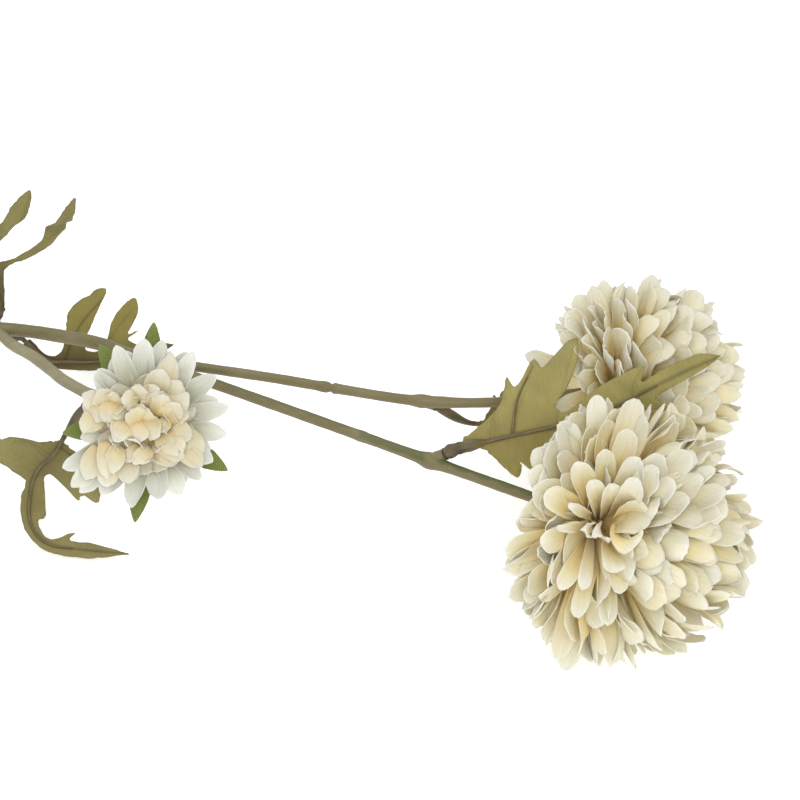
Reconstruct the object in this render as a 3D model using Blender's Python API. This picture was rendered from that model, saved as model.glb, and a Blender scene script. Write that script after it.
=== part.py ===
# Spray of artificial pompon chrysanthemums, cut and lying on a table.
# One moulded branching stem carries two ball blooms, one half open bloom and five leaves.
# Lengths are millimetres here and turn into metres where a mesh is made.
# X runs along the spray towards the blooms and Z is up. Every place is measured from the
# point of the table under the middle of the photograph, then moved by LAYOUT_SHIFT, so
# that the origin ends up under the middle of the whole spray.

import math
import random

import bmesh
import bpy
from mathutils import Matrix, Vector
from mathutils.geometry import delaunay_2d_cdt, interpolate_bezier

MM = 0.001
SEED = 23
LAYOUT_SHIFT = Vector((182.8, 50.5, 0.0))

# The photograph looks down at 45 degrees, and the leaves and small bloom face it.
FACING = Vector((0.0, -1.0, 1.0)).normalized()

PIECE_GAP = 0.3         # air between two pieces that touch
BLADE_THICK = 0.7       # petals, sepals and leaf blades
LOWEST = BLADE_THICK / 2  # the lowest that the middle of a petal may lie
SOLE_HEIGHT = 0.45      # corners lower than this are pressed flat on the table

# Moulded stem.
CUT_END = Vector((-500.0, 38.0, 3.1))
MAIN_FORK = Vector((-159.9, 15.0, 24.0))
UPPER_FORK = Vector((-101.9, -12.6, 36.0))
MAIN_RADIUS = 3.1
UPPER_RADIUS = 2.6
BRANCH_A_RADIUS = 1.9
BRANCH_B_RADIUS = 2.0
LOWER_RADIUS = 2.2
SMALL_STEM_RADIUS = 2.0 # the lower branch where it enters the small bloom's cup
STEM_SIDES = 8
NODE_A = Vector((7.5, -40.5, 40.0))
NODE_B = Vector((11.1, -74.8, 43.0))
NODE_L = Vector((-115.8, -39.7, 41.5))

# Ball blooms. The seat is the flat back of the core, measured along the axis from the
# middle of the ball, and everything but the calyx grows with size.
FRONT_CENTRE = Vector((86.1, -115.5, 45.5))
FRONT_AXIS = Vector((0.87, -0.49, 0.03)).normalized()
FRONT_SIZE = 1.0
BACK_CENTRE = Vector((95.7, -30.9, 39.5))
BACK_AXIS = Vector((0.985, 0.17, 0.0)).normalized()
BACK_SIZE = 0.85
CORE_RADIUS = 25.0
CORE_FORWARD = 2.0
SEAT = -19.0
ROOT_RADIUS = 3.0
BLOOM_PARTING = 45.9    # from the front bloom's middle to the plane between the blooms
PARTING_GAP = 1.0       # how far each bloom keeps from that plane
NEAR_LEAF = 13.0        # petals this near to the front leaf's midrib are bent off the leaf
OVER_LEAF = 4.0         # how far in front of the leaf the front bloom keeps
UNDER_LEAF = 2.2        # how far behind the leaf the back bloom keeps
MOST_BEND = 12.0        # petals further past the leaf than this miss it and stay as they are

# Petal layers: how many, start along the axis, start angle and end angle from the axis,
# length, width.
BALL_LAYERS = (
    (10, -14.8, 101, 131, 40.0, 11.5),
    (10, -14.0, 99, 114, 43.5, 12.0),
    (10, -13.0, 96, 100, 46.5, 12.0),
    (10, -11.5, 93, 86, 48.5, 12.0),
    (10, -9.5, 91, 70, 49.5, 12.0),
    (10, -7.5, 88, 54, 50.0, 12.0),
    (9, -6.0, 82, 38, 49.5, 12.0),
    (8, -4.5, 72, 24, 49.0, 11.5),
    (7, -3.0, 58, 12, 47.5, 11.0),
    (6, -2.0, 42, 4, 46.0, 10.5),
    (4, -1.0, 28, -4, 45.0, 10.0),
    (2, 0.0, 14, -6, 44.0, 9.0),
)

# One lowest petal of the front bloom lies flat on the table: the spray rests on it.
RESTING_PETAL = (
    ((80, -112, 26), 4.0), ((75.5, -109.6, 12), 5.4), ((70, -106.6, 3.0), 6.0),
    ((65, -104, LOWEST), 6.0), ((54, -98, LOWEST), 2.8),
)
RESTING_SIDE = Vector((0.49, 0.87, 0.0)).normalized()

# Half open bloom that faces the camera.
SMALL_CENTRE = Vector((-92.8, -72.4, 60.0))
SMALL_AXIS = FACING
OUTER_LAYERS = (
    (12, -3.0, 84, 76, 30.0, 9.0),
    (12, -1.8, 76, 66, 29.0, 9.0),
)
INNER_LAYERS = (
    (10, 1.5, 72, 40, 17.0, 7.0),
    (8, 2.5, 56, 10, 16.0, 7.0),
    (6, 3.0, 36, -20, 15.0, 6.5),
    (3, 3.0, 18, -20, 14.0, 6.0),
)
OUTER_DISC_RADIUS = 7.0
OUTER_DISC_BACK = -4.4
INNER_CORE_RADIUS = 7.5
INNER_CORE_HEIGHT = 8.5

# Calyx cups: radii and heights back from the seat, and the socket that holds the stem.
CUP_PROFILE = ((3.3, 9.7), (4.6, 8.3), (6.2, 5.2), (9.0, 1.6))
CUP_SIDES = 10
SOCKET_DEPTH = 5.3
BIG_SEPALS = (6, 3.0, 112, 126, 15.0, 7.0)
SMALL_SEPALS = (6, 2.6, 92, 84, 35.0, 8.5)
SMALL_CUP_SCALE = 0.72
CUP_WALL = 0.8
SEPAL_TIP = 0.35        # width of a sepal's tip as a share of a petal's

# Leaf outlines in the plane of the blade: along the midrib, out to the side.
FRONT_LEAF_UPPER = (
    (-4.6, 2.9), (2.5, 6.2), (11.6, 11.7), (14.4, 16.3), (16.8, 21.4), (18.5, 17.3),
    (27.4, 26.0), (29.6, 22.3), (36.0, 26.6), (48.4, 28.6), (45.8, 21.0), (31.6, 7.4),
    (33.2, 4.6), (41.7, 6.8), (51.7, 9.1), (61.5, 9.4), (70.2, 8.2), (66.4, 3.9),
    (74.3, 4.1), (82.2, 4.3), (91.2, 3.6),
)
FRONT_LEAF_LOWER = (
    (-1.8, 1.1), (2.5, 2.4), (5.9, 7.4), (9.0, 11.8), (12.4, 15.6), (14.5, 13.0),
    (14.4, 10.0), (17.6, 13.6), (22.4, 17.4), (24.9, 12.0), (28.5, 7.2), (35.3, 4.4),
    (47.4, 3.8), (60.3, 5.2), (71.0, 9.8), (68.2, 4.2), (71.0, 3.3), (80.4, 2.9), (90.5, 1.9),
)
TOP_LEAF_LEFT = (
    (1.2, 1.3), (11.6, 3.3), (16.9, 8.0), (26.2, 17.8), (33.1, 23.3), (32.1, 14.9),
    (30.2, 5.8), (32.2, 3.1), (38.5, 8.1), (49.5, 16.3), (61.9, 17.1), (53.8, 11.6),
    (48.9, 3.7), (56.3, 4.2), (63.6, 2.8),
)
TOP_LEAF_RIGHT = (
    (1.2, 1.3), (6.7, 2.5), (12.9, 4.2), (17.8, 8.0), (18.9, 14.5), (23.8, 26.8),
    (31.4, 32.5), (44.0, 38.3), (41.2, 32.2), (35.7, 26.8), (24.7, 20.1), (21.1, 9.3),
    (23.1, 3.8), (27.0, 3.9), (31.4, 8.2), (38.1, 13.7), (42.0, 19.1), (47.9, 21.5),
    (45.6, 15.8), (40.4, 9.1), (38.7, 4.3), (47.1, 5.5), (54.6, 4.4),
)
FORK_LEAF_UPPER = (
    (2.4, 2.0), (10.9, 1.7), (18.8, 4.0), (21.0, 13.5), (21.9, 20.6), (25.0, 24.7),
    (31.0, 28.2), (39.4, 27.9), (34.2, 19.8), (29.1, 10.0), (28.6, 5.3), (34.4, 4.7),
    (37.6, 7.3), (42.0, 16.1), (49.8, 20.9), (55.3, 22.4), (55.3, 17.9), (50.9, 12.4),
    (47.3, 9.2), (51.3, 4.6), (57.8, 4.3),
)
FORK_LEAF_LOWER = (
    (2.1, 2.0), (13.7, 2.4), (20.0, 3.0), (28.0, 3.4), (36.0, 3.0), (45.0, 3.4),
    (52.0, 3.0), (57.0, 2.4),
)
LOW_LEAF_INNER = (
    (-0.3, 2.0), (0.5, 8.5), (3.1, 15.3), (4.8, 21.5), (6.5, 24.4), (7.7, 18.3),
    (9.5, 19.2), (11.2, 12.2), (11.6, 4.8), (13.9, 3.4), (19.2, 4.9), (34.6, 5.9),
    (35.1, 3.5), (39.6, 2.4), (47.4, 2.2), (56.0, 7.4), (54.6, 3.6), (62.0, 3.4), (72.0, 2.0),
)
LOW_LEAF_OUTER = (
    (-0.1, 1.4), (1.9, 4.9), (8.5, 10.7), (12.3, 18.3), (12.5, 14.5), (10.3, 6.1),
    (12.8, 9.2), (14.0, 12.4), (12.4, 18.7), (12.4, 31.5), (14.6, 26.1), (16.4, 17.5),
    (17.2, 9.9), (19.2, 2.6), (24.8, 3.2), (34.4, 2.9), (42.2, 2.6), (50.0, 3.0),
    (60.8, 3.6), (70.0, 2.2),
)

# Leaf midribs, from the foot of the blade to its tip.
FRONT_LEAF_MIDRIB = (
    (28, -73, 50), (43, -70, 52), (57, -68, 54), (68, -67, 57),
    (81, -65, 63), (93, -64, 71), (106, -58, 74), (118, -51, 74),
)
TOP_LEAF_MIDRIB = (
    (-157, 21, 27), (-159, 25, 37), (-162, 28, 46), (-164, 32, 56),
    (-164, 37, 66), (-167, 44, 73), (-172, 55, 78),
)
FORK_LEAF_MIDRIB = (
    (-149, 15, 19), (-140, 12, 10.4), (-131, 13, 8.4), (-121, 13, 8.4),
    (-111, 12, 10.4), (-101, 12, 13.5), (-89, 12, 18.8),
)
LOW_LEAF_MIDRIB = (
    (-129, -45, 22), (-132, -49, 19), (-136, -52, 17), (-139, -57, 15),
    (-140, -62, 12), (-140, -71, 9.4), (-137, -78, 6.6), (-131, -81.5, 4.2),
    (-122, -82.6, 3.4), (-113, -84, 3.4), (-101.5, -85, 3.2),
)
BACK_LEAF_MIDRIB = (
    (30, -38, 25), (38, -34.5, 20.5), (46, -29, 16.5), (54, -22, 13),
    (61, -14, 10), (67, -5, 8), (72, 5, 6.5), (76, 15, 5.5),
)
FRONT_LEAF_LENGTH = 99.0
RIB_RADIUS = 0.9
RIB_CLEAR = 0.25        # more air under the rib, for the bends of the blade between stations
MIDRIB_STEPS = 9        # straight runs along a blade's midrib
RIB_STEPS = 6           # how many of them the moulded rib lies along
LEAD_STEPS = 6
STALK_SIDES = 6

# Each leaf: its outline on the two sides of the midrib, how far it turns about the midrib
# by its tip, the droop of its edges and the height of their ripple. The stalk leaves the
# stem at node, heads the given way out of a stub of that length and radius, and its rib
# meets the blade at ribStart along the midrib.
LEAVES = (
    dict(name="front_leaf", midrib=FRONT_LEAF_MIDRIB, left=FRONT_LEAF_UPPER,
         right=FRONT_LEAF_LOWER, turn=0, droop=0.6, ripple=0.8, node=NODE_B,
         way=(19.1, -73.8, 47.2), stub=5.8, radius=1.8, ribStart=-6.6),
    dict(name="top_leaf", midrib=TOP_LEAF_MIDRIB, left=TOP_LEAF_LEFT,
         right=TOP_LEAF_RIGHT, turn=0, droop=0.5, ripple=0.8, node=MAIN_FORK,
         way=(-157.6, 19.4, 28.4), stub=4.4, radius=1.2, ribStart=3.0),
    dict(name="fork_leaf", midrib=FORK_LEAF_MIDRIB, left=FORK_LEAF_UPPER,
         right=FORK_LEAF_LOWER, turn=0, droop=0.4, ripple=0.5, node=MAIN_FORK,
         way=(-150.0, 15.0, 19.6), stub=7.2, radius=1.4, ribStart=0.1),
    dict(name="low_leaf", midrib=LOW_LEAF_MIDRIB, left=LOW_LEAF_INNER,
         right=LOW_LEAF_OUTER, turn=-62, droop=0.4, ripple=0.5, node=NODE_L,
         way=(-121.2, -40.6, 34.2), stub=4.6, radius=1.4, ribStart=-2.3),
    dict(name="back_leaf", midrib=BACK_LEAF_MIDRIB, left=FRONT_LEAF_LOWER,
         right=FRONT_LEAF_LOWER, turn=0, droop=0.5, ripple=0.5, node=NODE_A,
         way=(21.0, -38.0, 30.6), stub=6.2, radius=1.5, ribStart=-3.3),
)


def smoothPath(points, count):
    """Evenly spaced points on a Catmull-Rom curve through the given ones."""
    knots = [Vector(p) for p in points]
    knots = [2 * knots[0] - knots[1]] + knots + [2 * knots[-1] - knots[-2]]
    dense = []
    for i in range(len(knots) - 3):
        a, b, c, d = knots[i:i + 4]
        for step in range(16):
            t = step / 16
            dense.append(0.5 * (2 * b + (c - a) * t + (2 * a - 5 * b + 4 * c - d) * t * t
                                + (3 * b - a - 3 * c + d) * t ** 3))
    dense.append(knots[-2])
    reach = [0.0]
    for a, b in zip(dense, dense[1:]):
        reach.append(reach[-1] + (b - a).length)
    out = []
    segment = 0
    for i in range(count):
        goal = reach[-1] * i / (count - 1)
        while segment < len(reach) - 2 and reach[segment + 1] < goal:
            segment += 1
        t = (goal - reach[segment]) / (reach[segment + 1] - reach[segment])
        out.append(dense[segment].lerp(dense[segment + 1], t))
    return out


def tangents(path):
    ends = [path[0]] + path + [path[-1]]
    return [(ends[i + 2] - ends[i]).normalized() for i in range(len(path))]


def makeMaterial(name, colour, roughness):
    material = bpy.data.materials.new(name)
    material.use_nodes = True
    shader = material.node_tree.nodes["Principled BSDF"]
    shader.inputs["Base Color"].default_value = (*colour, 1.0)
    shader.inputs["Roughness"].default_value = roughness
    shader.inputs["Metallic"].default_value = 0.0
    return material


def makeObject(name, verts, faces, material, anchor, smooth=False):
    """A mesh object at its anchor point, from corners given in the layout's millimetres."""
    mesh = bpy.data.meshes.new(name)
    mesh.from_pydata([(v - anchor) * MM for v in verts], [], faces)
    mesh.materials.append(material)
    obj = bpy.data.objects.new(name, mesh)
    obj.location = (anchor + LAYOUT_SHIFT) * MM
    bpy.context.scene.collection.objects.link(obj)
    shape = bmesh.new()
    shape.from_mesh(mesh)
    bmesh.ops.triangulate(shape, faces=shape.faces)
    bmesh.ops.recalc_face_normals(shape, faces=shape.faces)
    for face in shape.faces:
        face.smooth = smooth
    shape.to_mesh(mesh)
    shape.free()
    return obj


def tubeMesh(path, radii, sides, startWay=None):
    """A closed round tube along the path, with its rings turned as little as possible."""
    along = tangents(path)
    if startWay:
        along[0] = startWay
    across = along[0].orthogonal().normalized()
    verts = []
    for point, direction, radius in zip(path, along, radii):
        across = (across - across.dot(direction) * direction).normalized()
        third = direction.cross(across)
        for k in range(sides):
            angle = 2 * math.pi * k / sides
            verts.append(point + radius * (math.cos(angle) * across + math.sin(angle) * third))
    faces = []
    for i in range(len(path) - 1):
        for k in range(sides):
            a = i * sides + k
            b = i * sides + (k + 1) % sides
            faces.append((a, b, b + sides, a + sides))
    faces.append(tuple(range(sides)))
    faces.append(tuple(range((len(path) - 1) * sides, len(path) * sides)))
    return verts, faces


def keepLargestBody(mesh):
    """Drops the sealed hollows and loose scraps that a union leaves."""
    shape = bmesh.new()
    shape.from_mesh(mesh)
    bmesh.ops.triangulate(shape, faces=shape.faces)
    left = set(shape.faces)
    bodies = []
    while left:
        seed = left.pop()
        body = [seed]
        stack = [seed]
        while stack:
            face = stack.pop()
            for edge in face.edges:
                for other in edge.link_faces:
                    if other in left:
                        left.remove(other)
                        body.append(other)
                        stack.append(other)
        bodies.append(body)
    bodies.sort(key=len)
    scraps = [face for body in bodies[:-1] for face in body]
    bmesh.ops.delete(shape, geom=scraps, context='FACES')
    loose = [v for v in shape.verts if not v.link_faces]
    bmesh.ops.delete(shape, geom=loose, context='VERTS')
    bmesh.ops.recalc_face_normals(shape, faces=shape.faces)
    shape.to_mesh(mesh)
    shape.free()


def fuse(base, pieces):
    """Unites the pieces with the base by one Boolean on a collection, then drops them."""
    group = bpy.data.collections.new(base.name + "_pieces")
    bpy.context.scene.collection.children.link(group)
    for piece in pieces:
        bpy.context.scene.collection.objects.unlink(piece)
        group.objects.link(piece)
    union = base.modifiers.new("Union", 'BOOLEAN')
    union.operation = 'UNION'
    union.operand_type = 'COLLECTION'
    union.collection = group
    union.solver = 'MANIFOLD'
    bpy.context.view_layer.update()
    graph = bpy.context.evaluated_depsgraph_get()
    fused = bpy.data.meshes.new_from_object(base.evaluated_get(graph))
    fused.name = base.name
    base.modifiers.clear()
    base.data = fused
    for piece in pieces:
        bpy.data.objects.remove(piece)
    bpy.data.collections.remove(group)
    keepLargestBody(fused)


class BloomFrame:
    """The middle, axis and two crosswise directions of a bloom."""

    def __init__(self, centre, axis, size):
        self.centre = centre
        self.axis = axis
        self.size = size
        self.right = axis.cross(Vector((0.0, 0.0, 1.0))).normalized()
        self.up = self.right.cross(axis)

    def outward(self, turn):
        return math.cos(turn) * self.right + math.sin(turn) * self.up

    def sideways(self, turn):
        return -math.sin(turn) * self.right + math.cos(turn) * self.up

    def spot(self, along, radius, turn):
        return self.centre + along * self.axis + radius * self.outward(turn)


FRONT_LEAF_SPOTS = smoothPath(FRONT_LEAF_MIDRIB, 12)


def clearOfFrontLeaf(point, side, clearance):
    """Bends a petal off the leaf between the blooms: side is 1 towards the camera."""
    best = None
    for spot in FRONT_LEAF_SPOTS:
        gap = point - spot
        depth = gap.dot(FACING)
        flat = (gap - depth * FACING).length
        if flat < NEAR_LEAF and (best is None or flat < best[0]):
            best = (flat, depth)
    if best is None:
        return point
    short = clearance - side * best[1]
    if 0 < short < MOST_BEND:
        return point + side * short * FACING
    return point


def settleFront(point):
    """Keeps the front bloom above the table, off the leaf and on its side of the parting."""
    parting = (BACK_CENTRE - FRONT_CENTRE).normalized()
    past = (point - FRONT_CENTRE).dot(parting) - (BLOOM_PARTING - PARTING_GAP)
    if past > 0:
        point = point - past * parting
    return settleFree(clearOfFrontLeaf(point, 1, OVER_LEAF))


def settleBack(point):
    """Keeps the back bloom above the table, off the leaf and on its side of the parting."""
    parting = (BACK_CENTRE - FRONT_CENTRE).normalized()
    past = BLOOM_PARTING + PARTING_GAP - (point - FRONT_CENTRE).dot(parting)
    if past > 0:
        point = point + past * parting
    return settleFree(clearOfFrontLeaf(point, -1, UNDER_LEAF))


def settleFree(point):
    return Vector((point.x, point.y, max(point.z, LOWEST)))


def petalStations(frame, layer, turn, coreGap, rng):
    """Middle points of a petal: it leaves the axis and turns steadily as it grows."""
    count, start, angleA, angleB, length, width = layer
    bend = rng.gauss(0, 5)
    angleA += bend * 0.5
    angleB += bend + rng.gauss(0, 5)
    length *= frame.size * (1 + rng.gauss(0, 0.03))
    twist = math.radians(rng.gauss(0, 12))
    steps = 24
    radius = ROOT_RADIUS * frame.size
    along = start * frame.size
    line = []
    for i in range(steps + 1):
        part = i / steps
        line.append((part, radius, along, math.radians(angleA + (angleB - angleA) * part)))
        heading = math.radians(angleA + (angleB - angleA) * (part + 0.5 / steps))
        radius += math.sin(heading) * length / steps
        along += math.cos(heading) * length / steps
    inside = [row for row in line if coreGap(row[1], row[2])]
    first = inside[-1][0] if inside else 0.0
    profile = ((0.0, 0.62), (0.42, 0.92), (0.80, 1.0), (1.0, 0.42))
    stations = []
    for part, share in profile:
        row = line[round((first + (1 - first) * part) * steps)]
        if part > 0.5:
            share *= 1 + rng.gauss(0, 0.04)
        half = 0.5 * width * frame.size * share
        centre = frame.spot(row[2], max(row[1], 0.4), turn)
        lean = twist * part
        inward = math.sin(row[3]) * frame.axis - math.cos(row[3]) * frame.outward(turn)
        side = math.cos(lean) * frame.sideways(turn) + math.sin(lean) * inward
        stations.append((centre, side, half))
    return stations


def bladeMesh(stations, settle):
    """A flat strip of even thickness through the stations, closed at both ends."""
    lefts = [settle(c - half * side) for c, side, half in stations]
    rights = [settle(c + half * side) for c, side, half in stations]
    mids = [0.5 * (a + b) for a, b in zip(lefts, rights)]
    verts = []
    for left, right, along in zip(lefts, rights, tangents(mids)):
        across = (right - left).normalized()
        normal = along.cross(across).normalized() * (BLADE_THICK / 2)
        verts += [left + normal, right + normal, right - normal, left - normal]
    for v in verts:
        if v.z < SOLE_HEIGHT:
            v.z = 0.0
    faces = [(0, 1, 2, 3)]
    for i in range(len(stations) - 1):
        for k in range(4):
            a = 4 * i + k
            b = 4 * i + (k + 1) % 4
            faces.append((a, b, b + 4, a + 4))
    last = 4 * (len(stations) - 1)
    faces.append((last, last + 1, last + 2, last + 3))
    return verts, faces


def petalObjects(frame, layers, coreGap, settle, material, rng):
    pieces = []
    for number, layer in enumerate(layers):
        shift = number * 2.4
        for k in range(layer[0]):
            turn = shift + 2 * math.pi * (k + rng.uniform(-0.18, 0.18)) / layer[0]
            stations = petalStations(frame, layer, turn, coreGap, rng)
            verts, faces = bladeMesh(stations, settle)
            pieces.append(makeObject("petal", verts, faces, material, frame.centre))
    return pieces


def ballCore(name, frame, material):
    """A small round core with a flat back, which the petals stand out of."""
    shape = bmesh.new()
    bmesh.ops.create_icosphere(shape, subdivisions=2, radius=CORE_RADIUS * frame.size)
    corners = []
    for v in shape.verts:
        along = max(v.co.z + CORE_FORWARD * frame.size, SEAT * frame.size)
        corners.append(frame.centre + v.co.x * frame.right + v.co.y * frame.up + along * frame.axis)
    faces = [tuple(v.index for v in face.verts) for face in shape.faces]
    shape.free()
    return makeObject(name, corners, faces, material, frame.centre, smooth=True)


def restingPetal(frame, material):
    stations = [(Vector(spot), RESTING_SIDE, half) for spot, half in RESTING_PETAL]
    verts, faces = bladeMesh(stations, settleFree)
    return makeObject("petal", verts, faces, material, frame.centre)


def buildBall(name, frame, settle, material, seed, extra=()):
    rng = random.Random(seed)
    core = ballCore(name, frame, material)
    reach = 0.86 * CORE_RADIUS * frame.size

    def inCore(radius, along):
        return math.hypot(radius, along - CORE_FORWARD * frame.size) < reach

    pieces = petalObjects(frame, BALL_LAYERS, inCore, settle, material, rng)
    fuse(core, pieces + list(extra))


def revolved(name, frame, profile, sides, material):
    """A closed solid of revolution about the bloom's axis; a radius of 0 is a pole."""
    verts = []
    rings = []
    for radius, along in profile:
        if radius == 0:
            rings.append([len(verts)] * sides)
            verts.append(frame.spot(along, 0.0, 0.0))
            continue
        rings.append(list(range(len(verts), len(verts) + sides)))
        for k in range(sides):
            verts.append(frame.spot(along, radius, 2 * math.pi * k / sides))
    faces = []
    for a, b in zip(rings, rings[1:]):
        for k in range(sides):
            m = (k + 1) % sides
            corners = [a[k], a[m], b[m], b[k]]
            faces.append(tuple(dict.fromkeys(corners)))
    return makeObject(name, verts, faces, material, frame.centre, smooth=True)


def buildCalyx(name, frame, seat, scale, stemRadius, sepals, material, seed):
    """A cup under the bloom with a blind socket for the stem and green sepals round it.

    The place of its open back end along the bloom's axis comes back.
    """
    rng = random.Random(seed)
    top = seat - PIECE_GAP
    hole = stemRadius + PIECE_GAP
    back = top - CUP_PROFILE[0][1] * scale
    floor = back + SOCKET_DEPTH
    outside = [(radius * scale, top - depth * scale) for radius, depth in CUP_PROFILE]
    outside[0] = (max(outside[0][0], hole + CUP_WALL), back)
    rim = outside[-1][0]
    profile = [(0, floor), (hole, floor), (hole, back)] + outside + [(rim, top), (0, top)]
    cup = revolved(name, frame, profile, CUP_SIDES, material)
    count, start, angleA, angleB, length, width = sepals
    plain = BloomFrame(frame.centre, frame.axis, 1.0)
    layer = (count, top - start, angleA, angleB, length, width)

    def inCup(radius, along):
        return radius < rim * 0.75

    pieces = []
    for k in range(count):
        turn = 2 * math.pi * (k + 0.3 + rng.uniform(-0.15, 0.15)) / count
        stations = petalStations(plain, layer, turn, inCup, rng)
        centre, side, half = stations[-1]
        stations[-1] = (centre, side, half * SEPAL_TIP)
        verts, faces = bladeMesh(stations, settleFree)
        pieces.append(makeObject("sepal", verts, faces, material, frame.centre))
    fuse(cup, pieces)
    return back


def buildSmallOuter(frame, material):
    rng = random.Random(SEED + 3)
    profile = [(0, OUTER_DISC_BACK), (OUTER_DISC_RADIUS, OUTER_DISC_BACK),
               (OUTER_DISC_RADIUS, 0.0), (0, 0.0)]
    disc = revolved("small_bloom_outer_petals", frame, profile, CUP_SIDES, material)

    def inDisc(radius, along):
        return radius < OUTER_DISC_RADIUS * 0.8

    pieces = petalObjects(frame, OUTER_LAYERS, inDisc, settleFree, material, rng)
    fuse(disc, pieces)


def buildSmallInner(frame, material):
    rng = random.Random(SEED + 4)
    rise = PIECE_GAP
    profile = [(0, rise), (INNER_CORE_RADIUS * 0.8, rise), (INNER_CORE_RADIUS, rise + 2.5),
               (INNER_CORE_RADIUS * 0.7, INNER_CORE_HEIGHT * 0.8), (0, INNER_CORE_HEIGHT)]
    core = revolved("small_bloom_inner_petals", frame, profile, CUP_SIDES, material)

    def inCore(radius, along):
        return math.hypot(radius, along - 1.5) < INNER_CORE_RADIUS * 0.75

    pieces = petalObjects(frame, INNER_LAYERS, inCore, settleFree, material, rng)
    fuse(core, pieces)


class LeafSurface:
    """Carries a flat leaf outline onto its bent midrib."""

    def __init__(self, midrib, turn, droop, ripple):
        self.points = smoothPath(midrib, 40)
        self.along = tangents(self.points)
        self.length = sum((b - a).length for a, b in zip(self.points, self.points[1:]))
        self.turn = turn
        self.droop = droop
        self.ripple = ripple

    def frame(self, x):
        part = min(max(x / self.length, 0.0), 1.0) * (len(self.points) - 1)
        i = min(int(part), len(self.points) - 2)
        t = part - i
        point = self.points[i].lerp(self.points[i + 1], t)
        along = self.along[i].lerp(self.along[i + 1], t).normalized()
        normal = (FACING - FACING.dot(along) * along).normalized()
        share = min(max(x / self.length, 0.0), 1.0)
        turn = math.radians(self.turn * share ** 2)
        normal = (Matrix.Rotation(turn, 3, along) @ normal).normalized()
        past = x - min(max(x, 0.0), self.length)
        return point + past * along, along, normal, normal.cross(along)

    def spot(self, x, y):
        """Height off the flat: a fold at the midrib, a droop and a slow ripple at the edge."""
        point, along, normal, side = self.frame(x)
        out = abs(y)
        lift = -self.droop * out * out / 30.0
        lift += self.ripple * math.sin(0.3 * x + (1.1 if y > 0 else 2.9)) * min(out / 12.0, 1.5)
        spot = point + y * side + lift * normal
        spot.z = max(spot.z, 0.6)
        return spot


def buildBlade(name, leaf, left, right, material):
    """A thin blade with the cut outline, triangulated alike on both faces."""
    ribPoints = [(leaf.length * k / MIDRIB_STEPS, 0.0) for k in range(MIDRIB_STEPS + 1)]
    outline = [(x, y) for x, y in left] + [(leaf.length, 0.0)] + [(x, -y) for x, y in right[::-1]]
    outline.append((min(left[0][0], right[0][0]) - 1.0, 0.0))
    ring = len(outline)
    flat = [Vector(p) for p in outline + ribPoints[:-1]]
    chain = [ring - 1] + list(range(ring, len(flat))) + [len(left)]
    links = list(zip(chain, chain[1:]))
    result = delaunay_2d_cdt(flat, links, [tuple(range(ring))], 1, 0.001)
    flatVerts, triangles = result[0], [tuple(f) for f in result[2]]
    middle = [leaf.spot(v.x, v.y) for v in flatVerts]
    normals = [Vector((0, 0, 0)) for _ in middle]
    rims = {}
    for tri in triangles:
        a, b, c = (middle[i] for i in tri)
        area = (b - a).cross(c - a)
        for i in tri:
            normals[i] += area
        for edge in ((tri[0], tri[1]), (tri[1], tri[2]), (tri[2], tri[0])):
            rims[edge] = edge[::-1] not in rims
            if not rims[edge]:
                rims[edge[::-1]] = False
    offset = [n.normalized() * (BLADE_THICK / 2) for n in normals]
    verts = [m + o for m, o in zip(middle, offset)] + [m - o for m, o in zip(middle, offset)]
    for v in verts:
        v.z = max(v.z, 0.1)
    count = len(middle)
    faces = list(triangles) + [(c + count, b + count, a + count) for a, b, c in triangles]
    for (a, b), open_ in rims.items():
        if open_:
            faces.append((b, a, a + count, b + count))
    return makeObject(name, verts, faces, material, leaf.points[0], smooth=True)


def buildStalk(name, leaf, base, start, heading, radius, material):
    """The moulded leaf stalk and midrib, lying just off the camera side of the blade."""
    ribbed = []
    widths = []
    stations = [leaf.length * k / MIDRIB_STEPS for k in range(RIB_STEPS + 1)]
    places = [base] + [x for x in stations if x > base + 1.0]
    for k, x in enumerate(places):
        point, along, normal, side = leaf.frame(x)
        thick = RIB_RADIUS * (1.15 - 0.75 * k / (len(places) - 1))
        ribbed.append(point + normal * (BLADE_THICK / 2 + PIECE_GAP + RIB_CLEAR + thick))
        widths.append(thick)
    stretch = 0.35 * (ribbed[0] - start).length
    arrival = (ribbed[1] - ribbed[0]).normalized() * stretch
    lead = interpolate_bezier(start, start + heading * stretch, ribbed[0] - arrival, ribbed[0],
                              LEAD_STEPS)[:-1]
    narrow = [radius + (widths[0] - radius) * (i / len(lead)) ** 2 for i in range(len(lead))]
    verts, faces = tubeMesh(lead + ribbed, narrow + widths, STALK_SIDES, heading)
    return makeObject(name, verts, faces, material, start, smooth=True)


def buildLeaf(bladeMaterial, stalkMaterial, name, midrib, left, right, turn, droop, ripple,
              node, way, stub, radius, ribStart):
    """One leaf, its blade and its stalk; the stub of stem that it sits on comes back."""
    leaf = LeafSurface(midrib, turn, droop, ripple)
    if name == "back_leaf":
        trim = leaf.length / FRONT_LEAF_LENGTH
        left = [(x * trim, y * trim) for x, y in left]
        right = left
    buildBlade(name + "_blade", leaf, left, right, bladeMaterial)
    heading = (Vector(way) - node).normalized()
    end = node + stub * heading
    buildStalk(name + "_stalk", leaf, ribStart, end + PIECE_GAP * heading, heading, radius,
               stalkMaterial)
    return node, end, radius


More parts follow.
